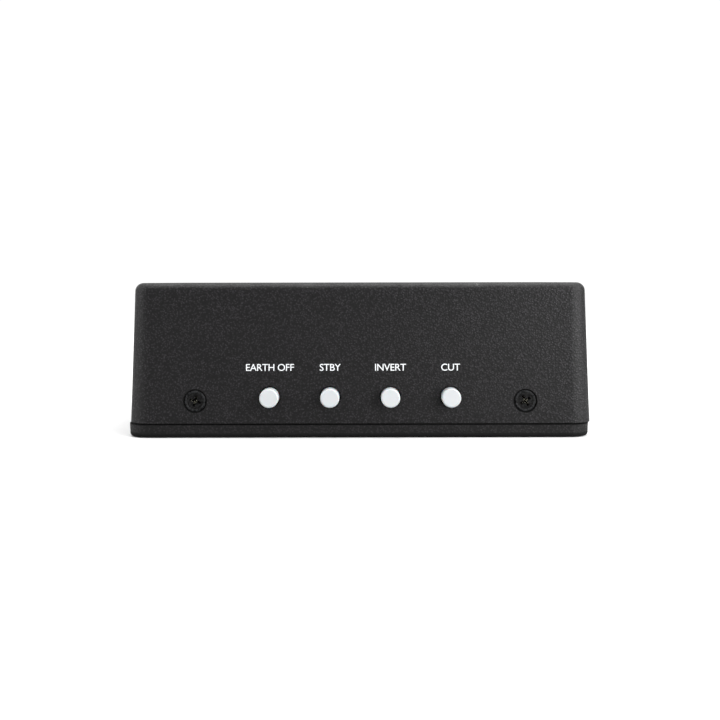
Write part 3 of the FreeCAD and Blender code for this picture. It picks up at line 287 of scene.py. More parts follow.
# %% The grain group
grain, given, wanted = open_group(
    "pebbled_grain",
    [("Where", "Vector", None), ("Grain Size", "Float", 0.00045), ("Fineness", "Float", 0.5)],
    [("Height", "Float"), ("Tone", "Float")],
)
per_metre = calc(grain, "DIVIDE", 1.0, given["Grain Size"])
stretch = noise(grain, given["Where"], calc(grain, "MULTIPLY", per_metre, 0.21), 1.0)
pebbles = grain.nodes.new("ShaderNodeTexVoronoi")
pebbles.feature = "SMOOTH_F1"
feed(grain, pebbles.inputs["Vector"], given["Where"])
feed(grain, pebbles.inputs["Scale"], per_metre)
pebbles.inputs["Smoothness"].default_value = 0.6
fine = noise(grain, given["Where"], calc(grain, "MULTIPLY", per_metre, 2.3), 3.0, 0.6)
dome = calc(grain, "SUBTRACT", 1.0, pebbles.outputs["Distance"])
height = blend_value(grain, given["Fineness"], dome, fine)
feed(grain, wanted["Height"], height)
uneven = calc(grain, "ADD", height, calc(grain, "MULTIPLY", stretch, 0.08))
feed(grain, wanted["Tone"], remap(grain, uneven, 0.50, 0.86))
print("group:", grain.name)

# %% [markdown]
# ## How deep inside the casting a point lies
# Wear starts on edges, and the inside of the case was never painted. Both masks follow from one
# measure: how far a point lies inside the box's drafted, round-cornered outside. The group
# works that out from the case's own sizes, so no map has to be painted by hand.

# %% The casting distance group
casting, given, wanted = open_group(
    "casting_distance",
    [
        ("Where", "Vector", None),
        ("Half Length", "Float", HALF_LENGTH),
        ("Half Width", "Float", HALF_WIDTH),
        ("Rim", "Float", RIM),
        ("Top", "Float", TOP),
        ("Slope", "Float", SLOPE),
        ("Corner", "Float", 5.5 * MM),
        ("Edge Width", "Float", 1.5 * MM),
    ],
    [("Edge", "Float"), ("Inside", "Float")],
)
x, y, z = parts_of(casting, given["Where"])
rise = calc(casting, "SUBTRACT", z, given["Rim"])
lean = calc(casting, "MULTIPLY", rise, given["Slope"])


def into_corner(half, along):
    """How far a point lies past the centre of its corner's rounding, or nothing."""
    wall = calc(casting, "SUBTRACT", given[half], lean)
    from_wall = calc(casting, "SUBTRACT", wall, calc(casting, "ABSOLUTE", along))
    return calc(casting, "MAXIMUM", calc(casting, "SUBTRACT", given["Corner"], from_wall), 0.0)


corner_x = into_corner("Half Length", x)
corner_y = into_corner("Half Width", y)
squares = calc(casting, "ADD", calc(casting, "POWER", corner_x, 2.0), calc(casting, "POWER", corner_y, 2.0))
from_side = calc(casting, "SUBTRACT", given["Corner"], calc(casting, "SQRT", squares))
from_top = calc(casting, "SUBTRACT", given["Top"], z)
nearest_edge = calc(casting, "MAXIMUM", from_side, from_top)
full_wear = calc(casting, "MULTIPLY", given["Edge Width"], 0.75)
feed(casting, wanted["Edge"], remap(casting, nearest_edge, given["Edge Width"], full_wear))
depth = calc(casting, "MINIMUM", from_side, from_top)
feed(casting, wanted["Inside"], remap(casting, depth, 1.5 * MM, 1.9 * MM))
print("group:", casting.name)

# %% [markdown]
# ## Wear, dust and moulding
# Three lighter effects. Wear breaks an edge mask up, since hands and bags rub some places more
# than others. Dust settles only where a surface faces up. Moulded plastic carries faint flow
# marks and the fine texture of its mould.

# %% The wear group
wear, given, wanted = open_group(
    "edge_wear",
    [("Where", "Vector", None), ("Edge", "Float", 0.0), ("Amount", "Float", 0.3)],
    [("Rubbed", "Float"), ("Chipped", "Float")],
)
patches = noise(wear, given["Where"], 160.0, 4.0, 0.65)
specks = noise(wear, given["Where"], 900.0, 2.0, 0.6)
rubbed = calc(wear, "MULTIPLY", given["Edge"], remap(wear, patches, 0.35, 0.7))
feed(wear, wanted["Rubbed"], calc(wear, "MULTIPLY", rubbed, given["Amount"]))
chips = calc(wear, "MULTIPLY", remap(wear, specks, 0.66, 0.7), remap(wear, patches, 0.55, 0.62))
chipped = calc(wear, "MULTIPLY", chips, given["Edge"])
feed(wear, wanted["Chipped"], calc(wear, "MULTIPLY", chipped, given["Amount"]))
print("group:", wear.name)

# %% [markdown]
# Dust is a thin film with a few larger specks in it, and only an upward face holds it.

# %% The dust group
dust, given, wanted = open_group(
    "settled_dust", [("Where", "Vector", None), ("Amount", "Float", 0.3)], [("Cover", "Float")]
)
facing = dust.nodes.new("ShaderNodeNewGeometry")
upward = parts_of(dust, facing.outputs["Normal"])[2]
film = noise(dust, given["Where"], 70.0, 5.0, 0.6)
specks = noise(dust, given["Where"], 1500.0, 1.0, 0.5)
haze = calc(dust, "MULTIPLY", remap(dust, film, 0.35, 0.8), 0.5)
cover = calc(dust, "ADD", haze, remap(dust, specks, 0.71, 0.76))
settled = calc(dust, "MULTIPLY", cover, remap(dust, upward, 0.6, 0.95))
feed(dust, wanted["Cover"], calc(dust, "MULTIPLY", settled, given["Amount"], clamp=True))
print("group:", dust.name)

# %% [markdown]
# A moulding's flow marks are far larger than the texture of its mould, so each has a noise of
# its own.

# %% The moulding group
moulding, given, wanted = open_group(
    "moulded_surface",
    [("Where", "Vector", None), ("Texture Size", "Float", 0.0002)],
    [("Height", "Float"), ("Flow", "Float")],
)
per_metre = calc(moulding, "DIVIDE", 1.0, given["Texture Size"])
feed(moulding, wanted["Height"], noise(moulding, given["Where"], per_metre, 2.0, 0.5))
feed(moulding, wanted["Flow"], noise(moulding, given["Where"], 210.0, 3.0, 0.55))
print("group:", moulding.name)

# %% [markdown]
# ## Starting a finish
# Every finish begins the same way: a Principled shader, the object's own coordinates, and a bump
# that takes its height from a texture. The height is in metres, so 0.00003 is 0.03 mm of relief.

# %% Helpers for finishes
finishes = {}


def start_finish(name, roughness=0.5, metallic=0.0, **constants):
    """An empty finish: its node tree, its shader's inputs and the Object coordinates."""
    material = bpy.data.materials.new(name)
    material.use_nodes = True
    tree = material.node_tree
    shader = tree.nodes["Principled BSDF"].inputs
    shader["Roughness"].default_value = roughness
    shader["Metallic"].default_value = metallic
    for label, number in constants.items():
        shader[label.replace("_", " ")].default_value = number
    finishes[name] = material
    return tree, shader, tree.nodes.new("ShaderNodeTexCoord").outputs["Object"]


def relief(tree, shader, height, depth, strength=1.0):
    bump = tree.nodes.new("ShaderNodeBump")
    bump.inputs["Distance"].default_value = depth
    bump.inputs["Strength"].default_value = strength
    feed(tree, bump.inputs["Height"], height)
    feed(tree, shader["Normal"], bump.outputs["Normal"])


# %% [markdown]
# ## Round a turned screw
# A turned face has faint rings about its own axis. Folding space with absolute values makes
# mirrored screws share one centre, so one distance serves a whole set.

# %% The turned face group
HEAD_RADIUS = 2.75 * MM
RING_PITCH = 0.22 * MM
turned, given, wanted = open_group(
    "turned_face",
    [(label, "Float", 0.0) for label in ("Across", "Along", "Half Pitch X", "Half Pitch Y")],
    [("Radius", "Float"), ("Rings", "Float")],
)
dx = calc(turned, "SUBTRACT", calc(turned, "ABSOLUTE", given["Across"]), given["Half Pitch X"])
dy = calc(turned, "SUBTRACT", calc(turned, "ABSOLUTE", given["Along"]), given["Half Pitch Y"])
squares = calc(turned, "ADD", calc(turned, "POWER", dx, 2.0), calc(turned, "POWER", dy, 2.0))
radius = calc(turned, "SQRT", squares)
feed(turned, wanted["Radius"], radius)
ring_angle = calc(turned, "MULTIPLY", radius, 2 * math.pi / RING_PITCH)
feed(turned, wanted["Rings"], calc(turned, "SINE", ring_angle))
panel = middle("panel_screws")
panel_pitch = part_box("panel_screws")[1][0] - HEAD_RADIUS
print("group:", turned.name)

# %% [markdown]
# ## The case's powder coat
# The case and its lid share one batch of paint: near-black, pebbled, between satin and matte.
# Edges are rubbed a little smoother and greyer, a few specks of bare metal show on the rounded
# top edge, and the inside is bare casting. The lip over the seam and the ring round each panel
# screw are painted near-black and made duller as painted shade, for the shadow in those gaps.

# %% Powder coat
# Near-black painted shade, put where shadow falls: in the seam's groove, in the gap round each panel screw
# and deep in the screws' crosses.
SHADE_BLACK = (0.0004, 0.0004, 0.0004)
tree, shader, where = start_finish("case_coat", Specular_IOR_Level=0.3)
pebbled = use_group(tree, grain, Where=where, Grain_Size=0.5 * MM, Fineness=0.45)
place = use_group(tree, casting, Where=where)
rub = use_group(tree, wear, Where=where, Edge=place["Edge"], Amount=0.5)
settled = use_group(tree, dust, Where=where, Amount=0.16)
coat = blend_colour(tree, pebbled["Tone"], (0.0008, 0.0006, 0.0009), (0.0290, 0.0265, 0.0300))
coat = blend_colour(tree, rub["Rubbed"], coat, (0.034, 0.035, 0.034))
coat = blend_colour(tree, rub["Chipped"], coat, (0.16, 0.16, 0.155))
coat = blend_colour(tree, settled["Cover"], coat, (0.20, 0.195, 0.185))
across, _, height = parts_of(tree, where)
above_screws = calc(tree, "SUBTRACT", height, panel.z)
sink = use_group(tree, turned, Across=across, Along=above_screws, Half_Pitch_X=panel_pitch)
# Painted shade: the ring round each panel screw and the lip just above the seam are painted near-black and
# made rough, for the shadow in those gaps.
ring = remap(tree, sink["Radius"], HEAD_RADIUS + 0.42 * MM, HEAD_RADIUS + 0.34 * MM)
lip = remap(tree, height, RIM + 0.20 * MM, RIM + 0.08 * MM)
shade_mask = calc(tree, "MAXIMUM", lip, ring)
coat = blend_colour(tree, shade_mask, coat, SHADE_BLACK)
bare = blend_colour(tree, noise(tree, where, 900.0, 4.0), (0.30, 0.30, 0.30), (0.46, 0.46, 0.45))
feed(tree, shader["Base Color"], blend_colour(tree, place["Inside"], coat, bare))
gloss = remap(tree, pebbled["Tone"], 0.0, 1.0, 0.46, 0.28)
gloss = blend_value(tree, rub["Rubbed"], gloss, 0.34)
gloss = blend_value(tree, shade_mask, gloss, 1.0)
feed(tree, shader["Roughness"], blend_value(tree, place["Inside"], gloss, 0.5))
feed(tree, shader["Metallic"], calc(tree, "MULTIPLY", place["Inside"], 0.85))
relief(tree, shader, pebbled["Height"], 0.13 * MM)
print("finish:", finishes["case_coat"].name)

# %% [markdown]
# The lid is the same paint, but it has an inside of its own: everything above the case's rim.
# Its underside meets the table, so its flat is scuffed where the case's isn't. Its lowest edge
# and the floor of the seam are painted near-black as painted shade: the contact shadow along the
# bottom and the shadow in the seam's groove.

# %% Powder coat on the lid
tree, shader, where = start_finish("lid_coat", Specular_IOR_Level=0.3)
pebbled = use_group(tree, grain, Where=where, Grain_Size=0.5 * MM, Fineness=0.45)
up = parts_of(tree, where)[2]
low_edge = remap(tree, up, 1.5 * MM, 0.3 * MM)
rub = use_group(tree, wear, Where=where, Edge=low_edge, Amount=0.2)
scuffs = tree.nodes.new("ShaderNodeMapping")
scuffs.inputs["Scale"].default_value = (1.0, 9.0, 1.0)
feed(tree, scuffs.inputs["Vector"], where)
streaks = remap(tree, noise(tree, scuffs.outputs[0], 240.0, 4.0, 0.7), 0.60, 0.75)
scuff = calc(tree, "MULTIPLY", streaks, remap(tree, up, 0.2 * MM, 0.0))
coat = blend_colour(tree, pebbled["Tone"], (0.0008, 0.0006, 0.0008), (0.0240, 0.0216, 0.0236))
coat = blend_colour(tree, rub["Rubbed"], coat, (0.036, 0.036, 0.036))
coat = blend_colour(tree, calc(tree, "MULTIPLY", scuff, 0.5), coat, (0.07, 0.07, 0.07))
# Painted shadow: the lid is darkened towards its bottom edge, for the contact shadow along the table.
shade_mask = remap(tree, up, 1.6 * MM, 0.9 * MM)
coat = blend_colour(tree, shade_mask, coat, (0.0006, 0.0006, 0.0006))
# Painted shade: the seam's floor, just below the case's rim, is painted near-black for the shadow in its
# groove.
seam = remap(tree, up, RIM - 0.48 * MM, RIM - 0.36 * MM)
coat = blend_colour(tree, seam, coat, SHADE_BLACK)
inner = remap(tree, up, RIM + 0.02 * MM, RIM + 0.08 * MM)
bare = blend_colour(tree, noise(tree, where, 900.0, 4.0), (0.30, 0.30, 0.30), (0.46, 0.46, 0.45))
feed(tree, shader["Base Color"], blend_colour(tree, inner, coat, bare))
gloss = remap(tree, pebbled["Tone"], 0.0, 1.0, 0.52, 0.36)
gloss = blend_value(tree, scuff, gloss, 0.4)
gloss = blend_value(tree, calc(tree, "MAXIMUM", shade_mask, seam), gloss, 0.9)
feed(tree, shader["Roughness"], blend_value(tree, inner, gloss, 0.5))
feed(tree, shader["Metallic"], calc(tree, "MULTIPLY", inner, 0.85))
relief(tree, shader, pebbled["Height"], 0.13 * MM)
print("finish:", finishes["lid_coat"].name)

# %% [markdown]
# ## White caps and other mouldings
# The push-button caps are glossy ABS, off-white and very slightly translucent. Their faces are
# polished, so they need only faint flow marks. Nylon housings are duller and take the spark
# texture of their mould. One function makes every moulded finish from its colours.

# %% Moulded plastics
def moulded(name, dark, light, gloss, texture_size, depth, dusty=0.1, **constants):
    tree, shader, where = start_finish(name, gloss, 0.0, **constants)
    surface = use_group(tree, moulding, Where=where, Texture_Size=texture_size)
    settled = use_group(tree, dust, Where=where, Amount=dusty)
    colour = blend_colour(tree, surface["Flow"], dark, light)
    feed(tree, shader["Base Color"], blend_colour(tree, settled["Cover"], colour, (0.35, 0.34, 0.32)))
    feed(tree, shader["Roughness"], remap(tree, surface["Flow"], 0.2, 0.8, gloss * 0.8, gloss * 1.2))
    relief(tree, shader, surface["Height"], depth)


milky = {"Subsurface_Weight": 0.15, "Subsurface_Scale": 0.4 * MM}
moulded("cap_white", (0.545, 0.57, 0.585), (0.61, 0.63, 0.645), 0.32, 0.25 * MM, 0.002 * MM, 0.0, **milky)
moulded("black_nylon", (0.010, 0.010, 0.010), (0.022, 0.022, 0.022), 0.55, 0.12 * MM, 0.012 * MM)
moulded("grey_plastic", (0.23, 0.24, 0.26), (0.31, 0.32, 0.34), 0.45, 0.15 * MM, 0.008 * MM)
moulded("film_yellow", (0.52, 0.33, 0.03), (0.66, 0.44, 0.05), 0.42, 0.2 * MM, 0.008 * MM)
moulded("lead_grey", (0.16, 0.16, 0.17), (0.24, 0.24, 0.26), 0.5, 0.3 * MM, 0.006 * MM)
print("plastics:", [n for n in finishes if "nylon" in n or "plastic" in n or "white" in n])

# %% [markdown]
# ## Plated and drawn metals
# Plating is a mirror that handling has dulled. Fine scratches run every way on a nut, and round
# and round on anything turned in a lathe, so the recipe takes noise that is squeezed along one
# direction, and lets its roughness vary from bright to hazy.

# %% Metals
def plated(name, dark, light, gloss, squeeze, depth=0.004 * MM, metallic=1.0, haze=0.18, **constants):
    tree, shader, where = start_finish(name, gloss, metallic, **constants)
    lines = tree.nodes.new("ShaderNodeMapping")
    lines.inputs["Scale"].default_value = squeeze
    feed(tree, lines.inputs["Vector"], where)
    scratches = noise(tree, lines.outputs[0], 900.0, 3.0, 0.7)
    handled = noise(tree, where, 260.0, 4.0, 0.6)
    feed(tree, shader["Base Color"], blend_colour(tree, remap(tree, handled, 0.3, 0.75), dark, light))
    hazy = remap(tree, handled, 0.3, 0.8, gloss, gloss + haze)
    feed(tree, shader["Roughness"], calc(tree, "ADD", hazy, calc(tree, "MULTIPLY", scratches, 0.06)))
    relief(tree, shader, scratches, depth)


plated("nickel", (0.55, 0.53, 0.49), (0.72, 0.70, 0.66), 0.14, (1, 1, 1))
plated("zinc", (0.50, 0.51, 0.53), (0.66, 0.67, 0.68), 0.24, (1, 3, 1))
plated("brass_plate", (0.62, 0.46, 0.20), (0.80, 0.64, 0.32), 0.16, (1, 1, 6))
plated("spring_steel", (0.38, 0.38, 0.39), (0.55, 0.55, 0.56), 0.25, (1, 1, 1))
plated("tin", (0.55, 0.55, 0.54), (0.74, 0.74, 0.73), 0.22, (1, 1, 1))
plated("can_steel", (0.42, 0.42, 0.41), (0.58, 0.58, 0.56), 0.3, (1, 1, 0.1), 0.008 * MM)
plated("core_iron", (0.10, 0.095, 0.09), (0.20, 0.19, 0.18), 0.5, (0.02, 2.0, 0.02), 0.03 * MM, 0.8)
satin = {"depth": 0.006 * MM, "metallic": 0.0, "haze": 0.14, "Coat_Weight": 0.2}
plated("connector_black", (0.012, 0.012, 0.013), (0.024, 0.024, 0.025), 0.34, (1, 1, 1), **satin)
print("metals:", len(finishes), "finishes so far")

# %% [markdown]
# ## Black screws
# The screws are steel blackened by oxide. The rim of each head is painted lighter as a painted
# highlight. Below the face the cross is painted near-black as painted shade, and in places inside
# it the driver has rubbed the black off; those pale spots are also a painted highlight, for glints.

# %% Black oxide on three sets of screws
OUTPUT_SCREW_ACROSS = 9.5 * MM
OUTPUT_SCREW_RISE = 12.0 * MM


def black_screws(name, centre, half_pitch, first_axis, second_axis, depth_of):
    """A finish for screws whose faces span two axes; depth_of says how deep a point lies."""
    tree, shader, where = start_finish(name, 0.36, 0.0, Specular_IOR_Level=0.15)
    along = parts_of(tree, where)
    across = calc(tree, "SUBTRACT", along[first_axis], centre[0])
    onward = calc(tree, "SUBTRACT", along[second_axis], centre[1])
    pitches = {"Half_Pitch_X": half_pitch[0], "Half_Pitch_Y": half_pitch[1]}
    face = use_group(tree, turned, Across=across, Along=onward, **pitches)
    marks = noise(tree, where, 1900.0, 3.0, 0.6)
    # Painted shade: deep in the cross the colour is near-black and the surface rough, for the shadow inside
    # the recess.
    sunk = remap(tree, depth_of(tree, along), 0.18 * MM, 0.30 * MM)
    # Pale spots in the cross: bare steel where the driver rubbed, painted pale and bright as a painted
    # highlight standing in for glints.
    near_cross = remap(tree, face["Radius"], 1.3 * MM, 1.0 * MM)
    wear_and_glints = calc(tree, "MULTIPLY", near_cross, remap(tree, marks, 0.55, 0.63))
    wear_and_glints = calc(tree, "MULTIPLY", wear_and_glints, sunk)
    # Painted highlight: a lighter ring near the rim of each head stands in for the rim's highlight.
    near_rim = remap(tree, face["Radius"], 2.15 * MM, 2.3 * MM)
    rim_highlight = calc(tree, "MULTIPLY", near_rim, remap(tree, marks, 0.35, 0.6))
    black = blend_colour(tree, remap(tree, marks, 0.4, 0.65), (0.0008, 0.0008, 0.0009), (0.013, 0.013, 0.013))
    black = blend_colour(tree, rim_highlight, black, (0.026, 0.027, 0.028))
    black = blend_colour(tree, sunk, black, SHADE_BLACK)
    feed(tree, shader["Base Color"], blend_colour(tree, wear_and_glints, black, (0.60, 0.58, 0.46)))
    satin = remap(tree, marks, 0.3, 0.7, 0.30, 0.46)
    feed(tree, shader["Roughness"], blend_value(tree, calc(tree, "SUBTRACT", sunk, wear_and_glints), satin, 0.9))
    relief(tree, shader, calc(tree, "ADD", face["Rings"], marks), 0.004 * MM)


shell = middle("output_shell")
lid_pitch = [half - HEAD_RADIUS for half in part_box("lid_screws")[1][:2]]
front_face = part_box("panel_screws")[0][1]
rear_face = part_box("output_screws")[1][1] - 2 * OUTPUT_SCREW_RISE * SLOPE


def into_front(tree, along):
    return calc(tree, "SUBTRACT", along[1], front_face)


def into_lid(tree, along):
    return calc(tree, "SUBTRACT", along[2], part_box("lid_screws")[0][2])


def into_rear(tree, along):
    """The connector leans with the wall, so the depth takes the height into account."""
    fall = calc(tree, "MULTIPLY", calc(tree, "SUBTRACT", shell.z + OUTPUT_SCREW_RISE, along[2]), SLOPE)
    return calc(tree, "SUBTRACT", calc(tree, "ADD", rear_face, fall), along[1])


black_screws("panel_screw_black", (0.0, panel.z), (panel_pitch, 0.0), 0, 2, into_front)
black_screws("lid_screw_black", (0.0, 0.0), lid_pitch, 0, 1, into_lid)
output_pitch = (OUTPUT_SCREW_ACROSS, OUTPUT_SCREW_RISE)
black_screws("output_screw_black", (shell.x, shell.z), output_pitch, 0, 2, into_rear)
print("screw finishes:", [n for n in finishes if "screw" in n])

# %% [markdown]
# ## Circuit boards and the parts on them
# A circuit board is green lacquer over copper: tracks show through as paler lanes, and vias as
# small rings. A brick pattern makes lanes that look routed, and a Voronoi makes the vias.

# %% Circuit board lacquer
tree, shader, where = start_finish("board_green", 0.34, 0.0, Coat_Weight=0.25, Coat_Roughness=0.2)
lanes = tree.nodes.new("ShaderNodeTexBrick")
lanes.inputs["Scale"].default_value = 130.0
lanes.inputs["Mortar Size"].default_value = 0.055
lanes.inputs["Color1"].default_value = (0, 0, 0, 1)
lanes.inputs["Color2"].default_value = (0.15, 0.15, 0.15, 1)
lanes.inputs["Mortar"].default_value = (1, 1, 1, 1)
turn = tree.nodes.new("ShaderNodeMapping")
turn.inputs["Rotation"].default_value = (0.3, 0.0, 0.0)
feed(tree, turn.inputs["Vector"], where)
feed(tree, lanes.inputs["Vector"], turn.outputs[0])
vias = tree.nodes.new("ShaderNodeTexVoronoi")
vias.inputs["Scale"].default_value = 190.0
feed(tree, vias.inputs["Vector"], where)
via = remap(tree, vias.outputs["Distance"], 0.12, 0.09)
copper = calc(tree, "MAXIMUM", parts_of(tree, lanes.outputs["Color"])[0], via)
lacquer = blend_colour(tree, noise(tree, where, 400.0), (0.010, 0.085, 0.035), (0.016, 0.12, 0.05))
feed(tree, shader["Base Color"], blend_colour(tree, copper, lacquer, (0.05, 0.24, 0.10)))
feed(tree, shader["Roughness"], blend_value(tree, copper, 0.36, 0.28))
relief(tree, shader, copper, 0.03 * MM)
print("finish: board_green")

# %% [markdown]
# A coil is wound in layers, so its finish has fine ridges across the winding. An electrolytic
# capacitor's sleeve is glossy shrunk film, with a pale stripe down its negative side.

# %% Coil and capacitor sleeves
tree, shader, where = start_finish("copper_coil", 0.32, 0.0, Coat_Weight=0.4)
turns_of_wire = tree.nodes.new("ShaderNodeTexWave")
turns_of_wire.bands_direction = "Z"
turns_of_wire.inputs["Scale"].default_value = 2200.0
turns_of_wire.inputs["Distortion"].default_value = 0.6
feed(tree, turns_of_wire.inputs["Vector"], where)
ridge = turns_of_wire.outputs["Fac"]
feed(tree, shader["Base Color"], blend_colour(tree, ridge, (0.22, 0.085, 0.02), (0.50, 0.24, 0.07)))
relief(tree, shader, ridge, 0.04 * MM)

tree, shader, where = start_finish("sleeve_black", 0.25, 0.0, Coat_Weight=0.3)
drums_low, drums_high = (Vector(c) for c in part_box("electrolytic_capacitors"))
stripe = remap(tree, parts_of(tree, where)[1], drums_low.y + 0.55 * MM, drums_low.y + 0.5 * MM)
film = blend_colour(tree, noise(tree, where, 300.0, 3.0), (0.008, 0.009, 0.02), (0.018, 0.02, 0.04))
printed = blend_colour(tree, calc(tree, "MULTIPLY", stripe, 0.9), film, (0.45, 0.47, 0.50))
top_face = remap(tree, parts_of(tree, where)[2], drums_high.z - 0.12 * MM, drums_high.z - 0.02 * MM)
feed(tree, shader["Base Color"], blend_colour(tree, top_face, printed, (0.62, 0.62, 0.62)))
feed(tree, shader["Metallic"], top_face)
relief(tree, shader, noise(tree, where, 700.0, 3.0), 0.01 * MM)
print("finishes:", len(finishes))

# %% [markdown]
# ## Dressing the CAD nodes
# The record says which finish each node takes. Most slots have one finish; the case's paint and
# the black screws are told apart here, because their wear, painted shade and painted highlights
# depend on where they are.

# %% One finish for each node
special = {
    "base_lid": "lid_coat",
    "panel_screws": "panel_screw_black",
    "lid_screws": "lid_screw_black",
    "output_screws": "output_screw_black",
}
dressed = {}
for entry in frame["record"]["subparts"]:
    node = entry["node"]
    name = special.get(node, entry["material_slot"])
    mesh = nodes[node].data
    mesh.materials.clear()
    mesh.materials.append(finishes[name])
    dressed.setdefault(name, []).append(node)
print("finishes used:", {name: len(held) for name, held in dressed.items()})

# %% [markdown]
# ## Printed legends
# The words above the buttons are screen-printed: a film of white ink a few hundredths of a
# millimetre thick, on a wall that leans with the draft. They could be a texture, but ink made
# as real geometry stays sharp at any distance and exports with the part. Text starts as a
# curve, becomes a mesh, gets its thickness, and is then carried onto the wall. The words are
# plain ones for what each switch and socket does.

# %% White ink
tree, shader, where = start_finish("print_white", 0.55)
solid = remap(tree, noise(tree, where, 2600.0, 3.0, 0.6), 0.25, 0.6)
feed(tree, shader["Base Color"], blend_colour(tree, solid, (0.74, 0.77, 0.79), (0.88, 0.90, 0.92)))
relief(tree, shader, noise(tree, where, 2100.0, 2.0), 0.02 * MM)
print("finish: print_white")

# %% [markdown]
# One function gives the matrix of a place on a leaning wall, and another prints words there.
# Blender sizes text by its em, so the height of a capital is first turned into an em.

# %% Text laid on a leaning wall
INK = 0.03 * MM
CAPITAL_SHARE_OF_EM = 0.729


def on_wall(across, height, rear=False):
    """Carries the XY plane onto the front or rear wall, at X and a height, facing outwards."""
    lean, rise = math.sin(DRAFT), math.cos(DRAFT)
    turn = -1 if rear else 1
    y = front_wall(height) * turn
    rows = [(turn, 0, 0, across), (0, turn * lean, -turn * rise, y), (0, rise, lean, height), (0, 0, 0, 1)]
    return Matrix(rows)


def print_text(name, words, cap_height, where, weight=0.0, spacing=1.0):
    """Words centred at the wall matrix, as a thin solid film."""
    curve = bpy.data.curves.new(name + "_outline", "FONT")
    curve.body = words
    curve.size = cap_height / CAPITAL_SHARE_OF_EM
    curve.offset = weight
    curve.space_character = spacing
    curve.align_x = "CENTER"
    curve.align_y = "CENTER"
    curve.extrude = INK / 2
    curve.resolution_u = 4
    text = bpy.data.objects.new(name + "_outline", curve)
    bpy.context.scene.collection.objects.link(text)
    view_layer = bpy.context.view_layer
    view_layer.update()
    mesh = bpy.data.meshes.new_from_object(text.evaluated_get(bpy.context.evaluated_depsgraph_get()))
    bpy.data.objects.remove(text)
    mesh.transform(where @ Matrix.Translation((0, 0, INK / 2)))
    mesh.materials.clear()
    mesh.materials.append(finishes["print_white"])
    piece = bpy.data.objects.new(name, mesh)
    bpy.context.scene.collection.objects.link(piece)
    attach(piece, "case")


# %% [markdown]
# The front's words stand in one line above the buttons, and the rear's stand over the nuts of
# the jacks.

# %% The words on the front and the rear
LEGEND_HEIGHT = middle("mute_cap").z + 7.55 * MM
REAR_LEGEND_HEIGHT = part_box("jack_nuts")[1][2] + 3.2 * MM
FRONT_CAPITAL = 1.87 * MM
REAR_CAPITAL = 2.2 * MM
words = {"ground": "EARTH OFF", "mute": "STBY", "polarity": "INVERT", "filter": "CUT"}
for button in BUTTONS:
    spot = on_wall(middle(f"{button}_cap").x, LEGEND_HEIGHT)
    print_text(f"{button}_legend", words[button], FRONT_CAPITAL, spot, 0.004 * MM, 0.95)
for jack, word in zip(JACKS, ("IN", "THRU")):
    spot = on_wall(middle(f"{jack}_jack_ferrule").x, REAR_LEGEND_HEIGHT, rear=True)
    print_text(f"{jack}_legend", word, REAR_CAPITAL, spot)

# %% [markdown]
# ## What repeats: one way to run a node tree
# Springs, solder joints, chip legs and end caps repeat, so Geometry Nodes makes them. Each tree
# has named inputs for its sizes, realizes its instances and sets its own material. The result
# is then copied out as a plain mesh, because the finished part has to travel without its tree.

# %% Helpers for node trees
def open_tree(name, sizes):
    """A Geometry Nodes tree with one float input for each size, and a geometry in and out."""
    tree = bpy.data.node_groups.new(name, "GeometryNodeTree")
    tree.interface.new_socket("Geometry", in_out="INPUT", socket_type="NodeSocketGeometry")
    for label in sizes:
        tree.interface.new_socket(label, in_out="INPUT", socket_type="NodeSocketFloat")
    tree.interface.new_socket("Geometry", in_out="OUTPUT", socket_type="NodeSocketGeometry")
    return tree, tree.nodes.new("NodeGroupInput").outputs, tree.nodes.new("NodeGroupOutput").inputs


def add(tree, kind, **sources):
    node = tree.nodes.new(kind)
    for label, source in sources.items():
        feed(tree, node.inputs[label.replace("_", " ")], source)
    return node


def close_tree(tree, wanted, geometry, finish):
    """Ends a tree in Realize Instances and Set Material."""
    real = add(tree, "GeometryNodeRealizeInstances", Geometry=geometry)
    dressed_mesh = add(tree, "GeometryNodeSetMaterial", Geometry=real.outputs[0])
    dressed_mesh.inputs["Material"].default_value = finishes[finish]
    feed(tree, wanted["Geometry"], dressed_mesh.outputs[0])


def grow(name, tree, sizes, points, body, place=None):
    """Runs a tree on some points, and keeps its result as a plain mesh that rides on a body."""
    seed = bpy.data.meshes.new(name + "_points")
    seed.from_pydata(points, [], [])
    piece = bpy.data.objects.new(name, seed)
    bpy.context.scene.collection.objects.link(piece)
    runner = piece.modifiers.new("grow", "NODES")
    runner.node_group = tree
    for item in tree.interface.items_tree:
        if item.in_out == "INPUT" and item.name in sizes:
            runner[item.identifier] = float(sizes[item.name])
    bpy.context.view_layer.update()
    mesh = bpy.data.meshes.new_from_object(piece.evaluated_get(bpy.context.evaluated_depsgraph_get()))
    piece.modifiers.remove(runner)
    if place:
        mesh.transform(place)
    piece.data = mesh
    bpy.data.meshes.remove(seed)
    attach(piece, body)
    return piece


# %% [markdown]
# ## Coil springs
# Each switch hides a small compression spring: wire wound round a mandrel, with its end turns
# closed up. A spiral swept with a round profile is the usual way. The CAD spring is a rigid
# solid, so these stand in for them, each laid out from its fixed end.

